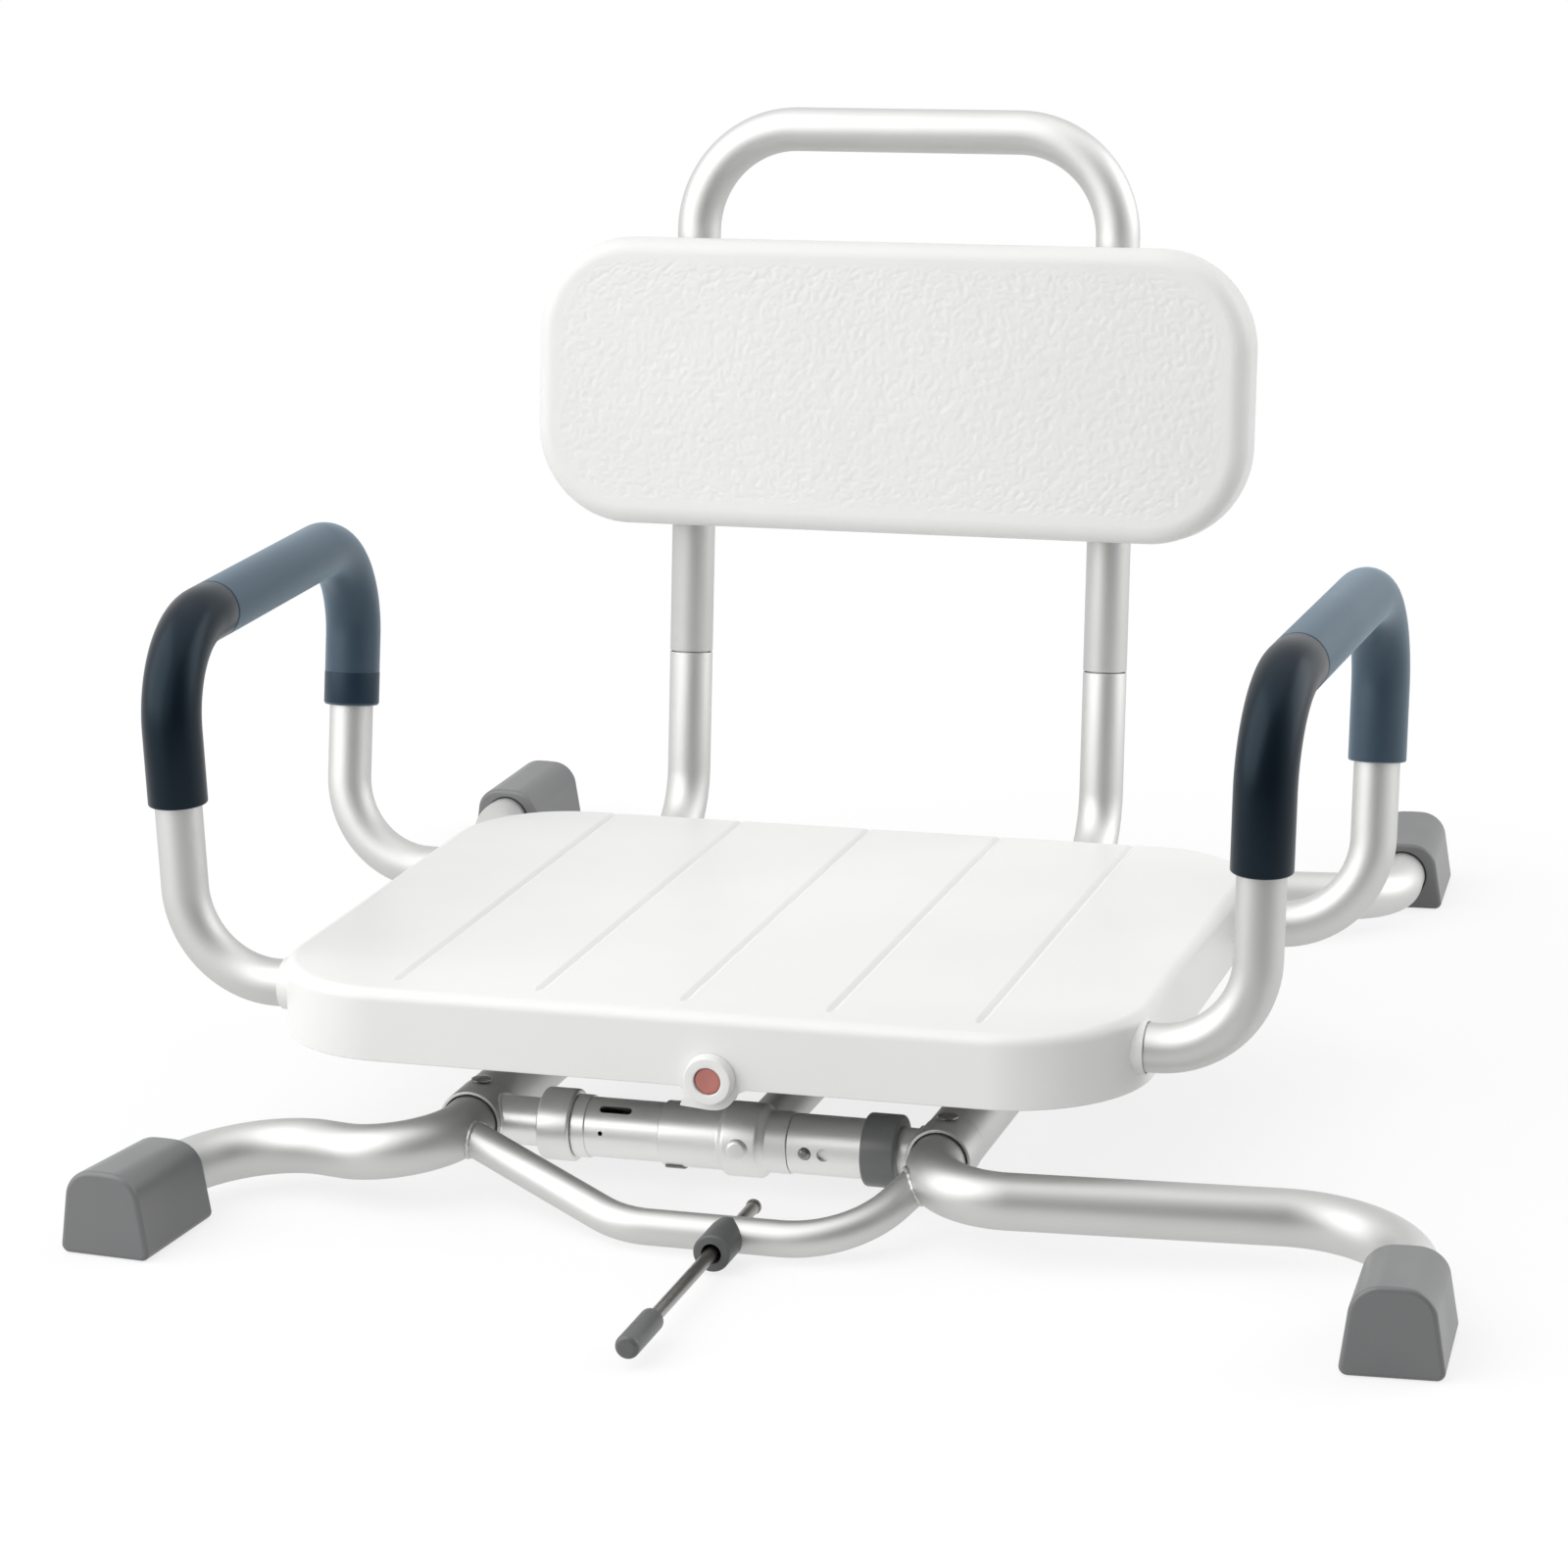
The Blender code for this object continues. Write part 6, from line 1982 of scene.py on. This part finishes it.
    def build_bar(self, shop: Workshop) -> None:
        """Builds the bar, cut to the legs, with a weld bead at each end."""
        corners = self.bar_points()
        first = corners[0] + (corners[0] - corners[1]).normalized() * self.bar_reach
        last = corners[3] + (corners[3] - corners[2]).normalized() * self.bar_reach
        route = Route(bent_route([first, *corners[1:3], last], [self.bar_bend] * 2, 3.0))
        name = f"{self.end.value}_bar"
        mesh = tube(name, route, self.bar, self.bar_wall)
        steps = []
        welds = []
        along = Vector(ALONG_Y)
        for sign, start, after in ((-1, corners[0], corners[1]), (1, corners[3], corners[2])):
            leg = self.leg_route(sign)
            rings = [(distance, self.tube - GAP) for distance in leg.along]
            steps.append((Carve.CUT, sweep("leg", leg, rings, 64)))
            welds.append(weld_bead(start, after - start, self.bar, leg.points, self.tube))
        middle = self.end.place(self.stop_x, self.sizes.bar_y, self.bar_z)
        hole = rod(middle - along * 0.012, along, self.rod + 0.0005, 0.024, 24)
        mesh = carved(mesh, steps + [(Carve.CUT, hole)])
        shop.add(name, joined(name, [mesh, *welds]), f"{self.end.value}_spreader")

    def build_stop(self, shop: Workshop) -> None:
        """Builds the collar on the bar, the stop rod and its rubber tip."""
        word = self.end.value
        size = self.sizes
        out = self.end.place(0.0, 1.0, 0.0)
        middle = self.end.place(self.stop_x, size.bar_y, self.bar_z)
        corners = [
            (0.0, self.collar_bore), (0.0, self.collar), (self.collar_out, self.collar),
            (self.collar_out, self.collar_bore),
        ]
        profile = rounded_profile(corners, 0.0012, 18.0)
        name = f"{word}_rod_collar"
        mesh = turned(name, middle, out, profile, sides=56, closed=True)
        saddle = rod(middle + Vector((-0.02, 0.0, 0.0)), ALONG_X, self.bar, 0.04, 56)
        mesh = carved(mesh, [(Carve.CUT, saddle)])
        shop.add(name, mesh, f"{word}_stop_collar", look=Look.DARK_MOULDING)
        head = self.end.place(self.stop_x, size.tip_y - self.rod_length, self.bar_z)
        length = self.rod_length - self.cap_length + self.cap_cover
        profile = [
            (0.0, 0.0), (0.0, self.rod_head - 0.0005), (0.0005, self.rod_head), (0.0016, self.rod_head),
            (0.002, self.rod_head - 0.0003), (0.002, self.rod), (length, self.rod), (length, 0.0),
        ]
        shop.add(f"{word}_rod", turned(f"{word}_rod", head, out, profile), f"{word}_stop_rod")
        tip = self.end.place(self.stop_x, size.tip_y, self.bar_z)
        depth = self.cap_cover + GAP
        socket = self.rod + GAP
        back = self.cap_length
        corners = [(0.0, 0.0), (0.0, self.cap), (back, self.cap), (back, socket)]
        profile = rounded_profile(corners, [0.0026, 0.0009], 12.0)
        profile += [(back - depth, socket), (back - depth, 0.0)]
        mesh = turned(f"{word}_rod_tip", tip, -out, profile)
        shop.add(f"{word}_rod_tip", mesh, f"{word}_stop_tip", look=Look.DARK_MOULDING)


@dataclass(frozen=True)
class Lamp:
    """A soft rectangular lamp."""

    name: str
    place: tuple[float, float, float]
    size: float
    power: float

    def build(self, aim: Vector) -> None:
        """Adds the lamp.

        Args:
            aim: The point that it faces.
        """
        data = bpy.data.lights.new(self.name, "AREA")
        data.shape = "RECTANGLE"
        data.size = data.size_y = self.size
        data.energy = self.power
        lamp = bpy.data.objects.new(self.name, data)
        lamp.location = self.place
        lamp.rotation_euler = (aim - Vector(self.place)).to_track_quat("-Z", "Y").to_euler()
        bpy.context.scene.collection.objects.link(lamp)


@dataclass
class Studio:
    """A pale floor, soft lamps, a dark card seen only in reflections, and the camera."""

    floor_size: float = 12.0
    floor_drop: float = 0.0002
    floor_colour: Colour = (0.62, 0.62, 0.62)
    floor_roughness: float = 0.9
    floor_specular: float = 0.1
    floor_share: float = 0.63
    floor_glow: float = 1.235
    fade: tuple[float, float] = (0.42, 1.15)
    ambient: float = 0.37
    lamps: tuple[Lamp, ...] = (
        Lamp("left_lamp", (-1.63, -1.37, 1.59), 3.2, 65.0),
        Lamp("right_lamp", (2.14, 1.0, 1.2), 2.0, 26.0),
        Lamp("top_lamp", (0.0, 0.0, 2.5), 2.4, 9.5),
    )
    aim_z: float = 0.15
    azimuth: float = 17.2665
    elevation: float = 14.4825
    roll: float = -1.0657
    lens: float = 103.68
    sensor: float = 36.0
    camera_place: tuple[float, float, float] = (0.6172, -2.0034, 0.7002)
    card_middle: float = 22.0
    card_reach: float = 62.0
    card_radius: float = 0.78
    card_foot: float = 0.001
    card_heights: tuple[float, float] = (0.30, 1.50)
    card_climb: tuple[float, float] = (0.22, 0.35)
    card_level: float = 0.12
    card_grid: tuple[int, int] = (32, 8)
    card_edges: tuple[tuple[str, float, float], ...] = (
        ("X", 0.0, 0.22), ("X", 1.0, 0.70), ("Y", 1.0, 0.55))

    def build(self, axis: Vector) -> None:
        """Builds the studio round the swivel axis.

        Args:
            axis: A point on the swivel axis.
        """
        self._world()
        self._floor()
        for lamp in self.lamps:
            lamp.build(Vector((0.0, 0.0, self.aim_z)))
        self._card(axis)
        self._camera(axis)
        bpy.context.scene.view_settings.view_transform = "Standard"

    @staticmethod
    def _shown(nodes: Nodes) -> bpy.types.NodeSocket:
        """Adds nodes that tell the rays which show the background.

        Args:
            nodes: The node tree to add to.

        Returns:
            A socket that is 1 for camera, glossy and transmission rays.
        """
        path = nodes.add("ShaderNodeLightPath").outputs
        total = path["Is Camera Ray"]
        for label in ("Is Glossy Ray", "Is Transmission Ray"):
            most = nodes.add("ShaderNodeMath", {0: total, 1: path[label]}, operation="MAXIMUM")
            total = most.outputs["Value"]
        return total

    @staticmethod
    def _staged(mesh: Mesh) -> tuple[bpy.types.Object, Nodes]:
        """Puts a mesh of the studio in the scene with a material of its own.

        Args:
            mesh: The mesh.

        Returns:
            The new object and its material's nodes.
        """
        obj = bpy.data.objects.new(mesh.name, mesh)
        bpy.context.scene.collection.objects.link(obj)
        material = bpy.data.materials.new(mesh.name)
        material.use_nodes = True
        mesh.materials.append(material)
        return obj, Nodes(material.node_tree)

    @staticmethod
    def _mixed(
        nodes: Nodes, share: bpy.types.NodeSocket, first: bpy.types.NodeSocket,
        second: bpy.types.NodeSocket,
    ) -> None:
        """Mixes two shaders into a material's output.

        Args:
            nodes: The material's nodes.
            share: Share of the second shader.
            first: The first shader.
            second: The second shader.
        """
        mix = nodes.add("ShaderNodeMixShader", {"Fac": share, 1: first, 2: second})
        nodes.feed(nodes.tree.nodes["Material Output"], {"Surface": mix.outputs["Shader"]})

    def _world(self) -> None:
        """An even soft light, with a white background behind the object and in its reflections."""
        world = bpy.data.worlds.new("studio")
        world.use_nodes = True
        bpy.context.scene.world = world
        nodes = Nodes(world.node_tree)
        level = nodes.add(
            "ShaderNodeMapRange", {"To Min": self.ambient, "To Max": 1.0, "Value": self._shown(nodes)})
        nodes.feed(nodes.tree.nodes["Background"], {
            "Strength": level.outputs["Result"], "Color": (1.0, 1.0, 1.0)})

    def _floor(self) -> None:
        """A wide pale floor that turns white away from the object and keeps its shadow near it."""
        bm = bmesh.new()
        bmesh.ops.create_grid(bm, x_segments=8, y_segments=8, size=self.floor_size / 2)
        mesh = bpy.data.meshes.new("floor")
        bm.to_mesh(mesh)
        bm.free()
        floor, nodes = self._staged(mesh)
        floor.location = (0.0, 0.0, -self.floor_drop)
        shader = nodes.tree.nodes["Principled BSDF"]
        nodes.feed(shader, {
            "Base Color": self.floor_colour, "Roughness": self.floor_roughness,
            "Specular IOR Level": self.floor_specular})
        place = nodes.add("ShaderNodeNewGeometry").outputs["Position"]
        length = nodes.add("ShaderNodeVectorMath", {0: place}, operation="LENGTH").outputs["Value"]
        near, far = self.fade
        share, glow = (
            nodes.add("ShaderNodeMapRange", {
                "From Min": near, "From Max": far, "To Min": level, "To Max": 1.0, "Value": length},
                interpolation_type="SMOOTHSTEP").outputs["Result"]
            for level in (self.floor_share, self.floor_glow)
        )
        white = nodes.add("ShaderNodeEmission", {"Strength": glow})
        share = nodes.product(share, self._shown(nodes))
        self._mixed(nodes, share, shader.outputs["BSDF"], white.outputs["Emission"])

    def _card(self, axis: Vector) -> None:
        """A curved dark card in front, soft at its edges, that only shows in glossy surfaces.

        Args:
            axis: A point on the swivel axis.
        """
        bm = bmesh.new()
        columns, rows = self.card_grid
        low, high = self.card_heights
        start, reach = self.card_climb
        layer = bm.loops.layers.uv.new("card")
        grid = []
        for column in range(columns + 1):
            turn = math.radians(self.card_middle + self.card_reach * (2 * column / columns - 1))
            height = low + (high - low) * eased(min(1.0, max(0.0, (column / columns - start) / reach)))
            x = axis.x + math.sin(turn) * self.card_radius
            y = axis.y - math.cos(turn) * self.card_radius
            grid.append([
                bm.verts.new((x, y, self.card_foot + height * row / rows)) for row in range(rows + 1)
            ])
        for column in range(columns):
            for row in range(rows):
                places = ((column, row), (column + 1, row), (column + 1, row + 1), (column, row + 1))
                face = bm.faces.new([grid[u][v] for u, v in places])
                for loop, (u, v) in zip(face.loops, places):
                    loop[layer].uv = (u / columns, v / rows)
        mesh = bpy.data.meshes.new("card")
        bm.to_mesh(mesh)
        bm.free()
        card, nodes = self._staged(mesh)
        card.visible_camera = False
        card.visible_diffuse = False
        card.visible_transmission = False
        card.visible_shadow = False
        self._card_nodes(nodes)

    def _card_nodes(self, nodes: Nodes) -> None:
        """The card's dark grey, which clears away towards both sides and the top.

        Args:
            nodes: The card's material nodes.
        """
        nodes.tree.nodes.remove(nodes.tree.nodes["Principled BSDF"])
        place = nodes.add("ShaderNodeUVMap", uv_map="card").outputs["UV"]
        parts = nodes.add("ShaderNodeSeparateXYZ", {"Vector": place}).outputs
        masks = [
            nodes.add("ShaderNodeMapRange", {
                "From Min": low, "From Max": high, "Value": parts[across]},
                interpolation_type="SMOOTHSTEP").outputs["Result"]
            for across, low, high in self.card_edges
        ]
        total = masks[0]
        for mask in masks[1:]:
            total = nodes.product(total, mask)
        dark = nodes.add("ShaderNodeEmission", {"Strength": self.card_level})
        clear = nodes.add("ShaderNodeBsdfTransparent")
        self._mixed(nodes, total, clear.outputs["BSDF"], dark.outputs["Emission"])

    def _camera(self, axis: Vector) -> None:
        """The camera where the photograph was taken from.

        Args:
            axis: A point on the swivel axis.
        """
        turn = math.radians(self.azimuth)
        rise = math.radians(self.elevation)
        roll = math.radians(self.roll)
        back = Vector((
            math.sin(turn) * math.cos(rise), -math.cos(turn) * math.cos(rise), math.sin(rise)))
        right = (-back).cross(Vector(ALONG_Z)).normalized()
        up = right.cross(-back)
        across = right * math.cos(roll) + up * math.sin(roll)
        above = -right * math.sin(roll) + up * math.cos(roll)
        matrix = Matrix((across, above, back)).transposed().to_4x4()
        matrix.translation = Vector(self.camera_place) + Vector((axis.x, axis.y, 0.0))
        data = bpy.data.cameras.new("camera")
        data.lens = self.lens
        data.sensor_width = self.sensor
        camera = bpy.data.objects.new("camera", data)
        camera.matrix_world = matrix
        bpy.context.scene.collection.objects.link(camera)
        bpy.context.scene.camera = camera


def main() -> None:
    """Builds every sub-assembly in order."""
    logging.basicConfig(level=logging.INFO, format="%(name)s %(message)s")
    for obj in list(bpy.data.objects):
        bpy.data.objects.remove(obj)
    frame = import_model()
    finishes = Finishes()
    swivel = next(joint for joint in frame["joints"] if joint["name"] == "seat_swivel")
    axis = Vector(swivel["pos_m"])
    dress_frame(frame, finishes)
    shop = Workshop(frame, finishes, axis)
    SeatMoulding().build(shop)
    ReleaseButton().build(shop)
    for side in Side:
        ArmHoop(side).build(shop)
    Backrest().build(shop)
    Chassis().build(shop)
    BasePlate().build(shop)
    for end in End:
        LegFrame(end).build(shop)
    Studio().build(axis)


if __name__ == "__main__":
    main()
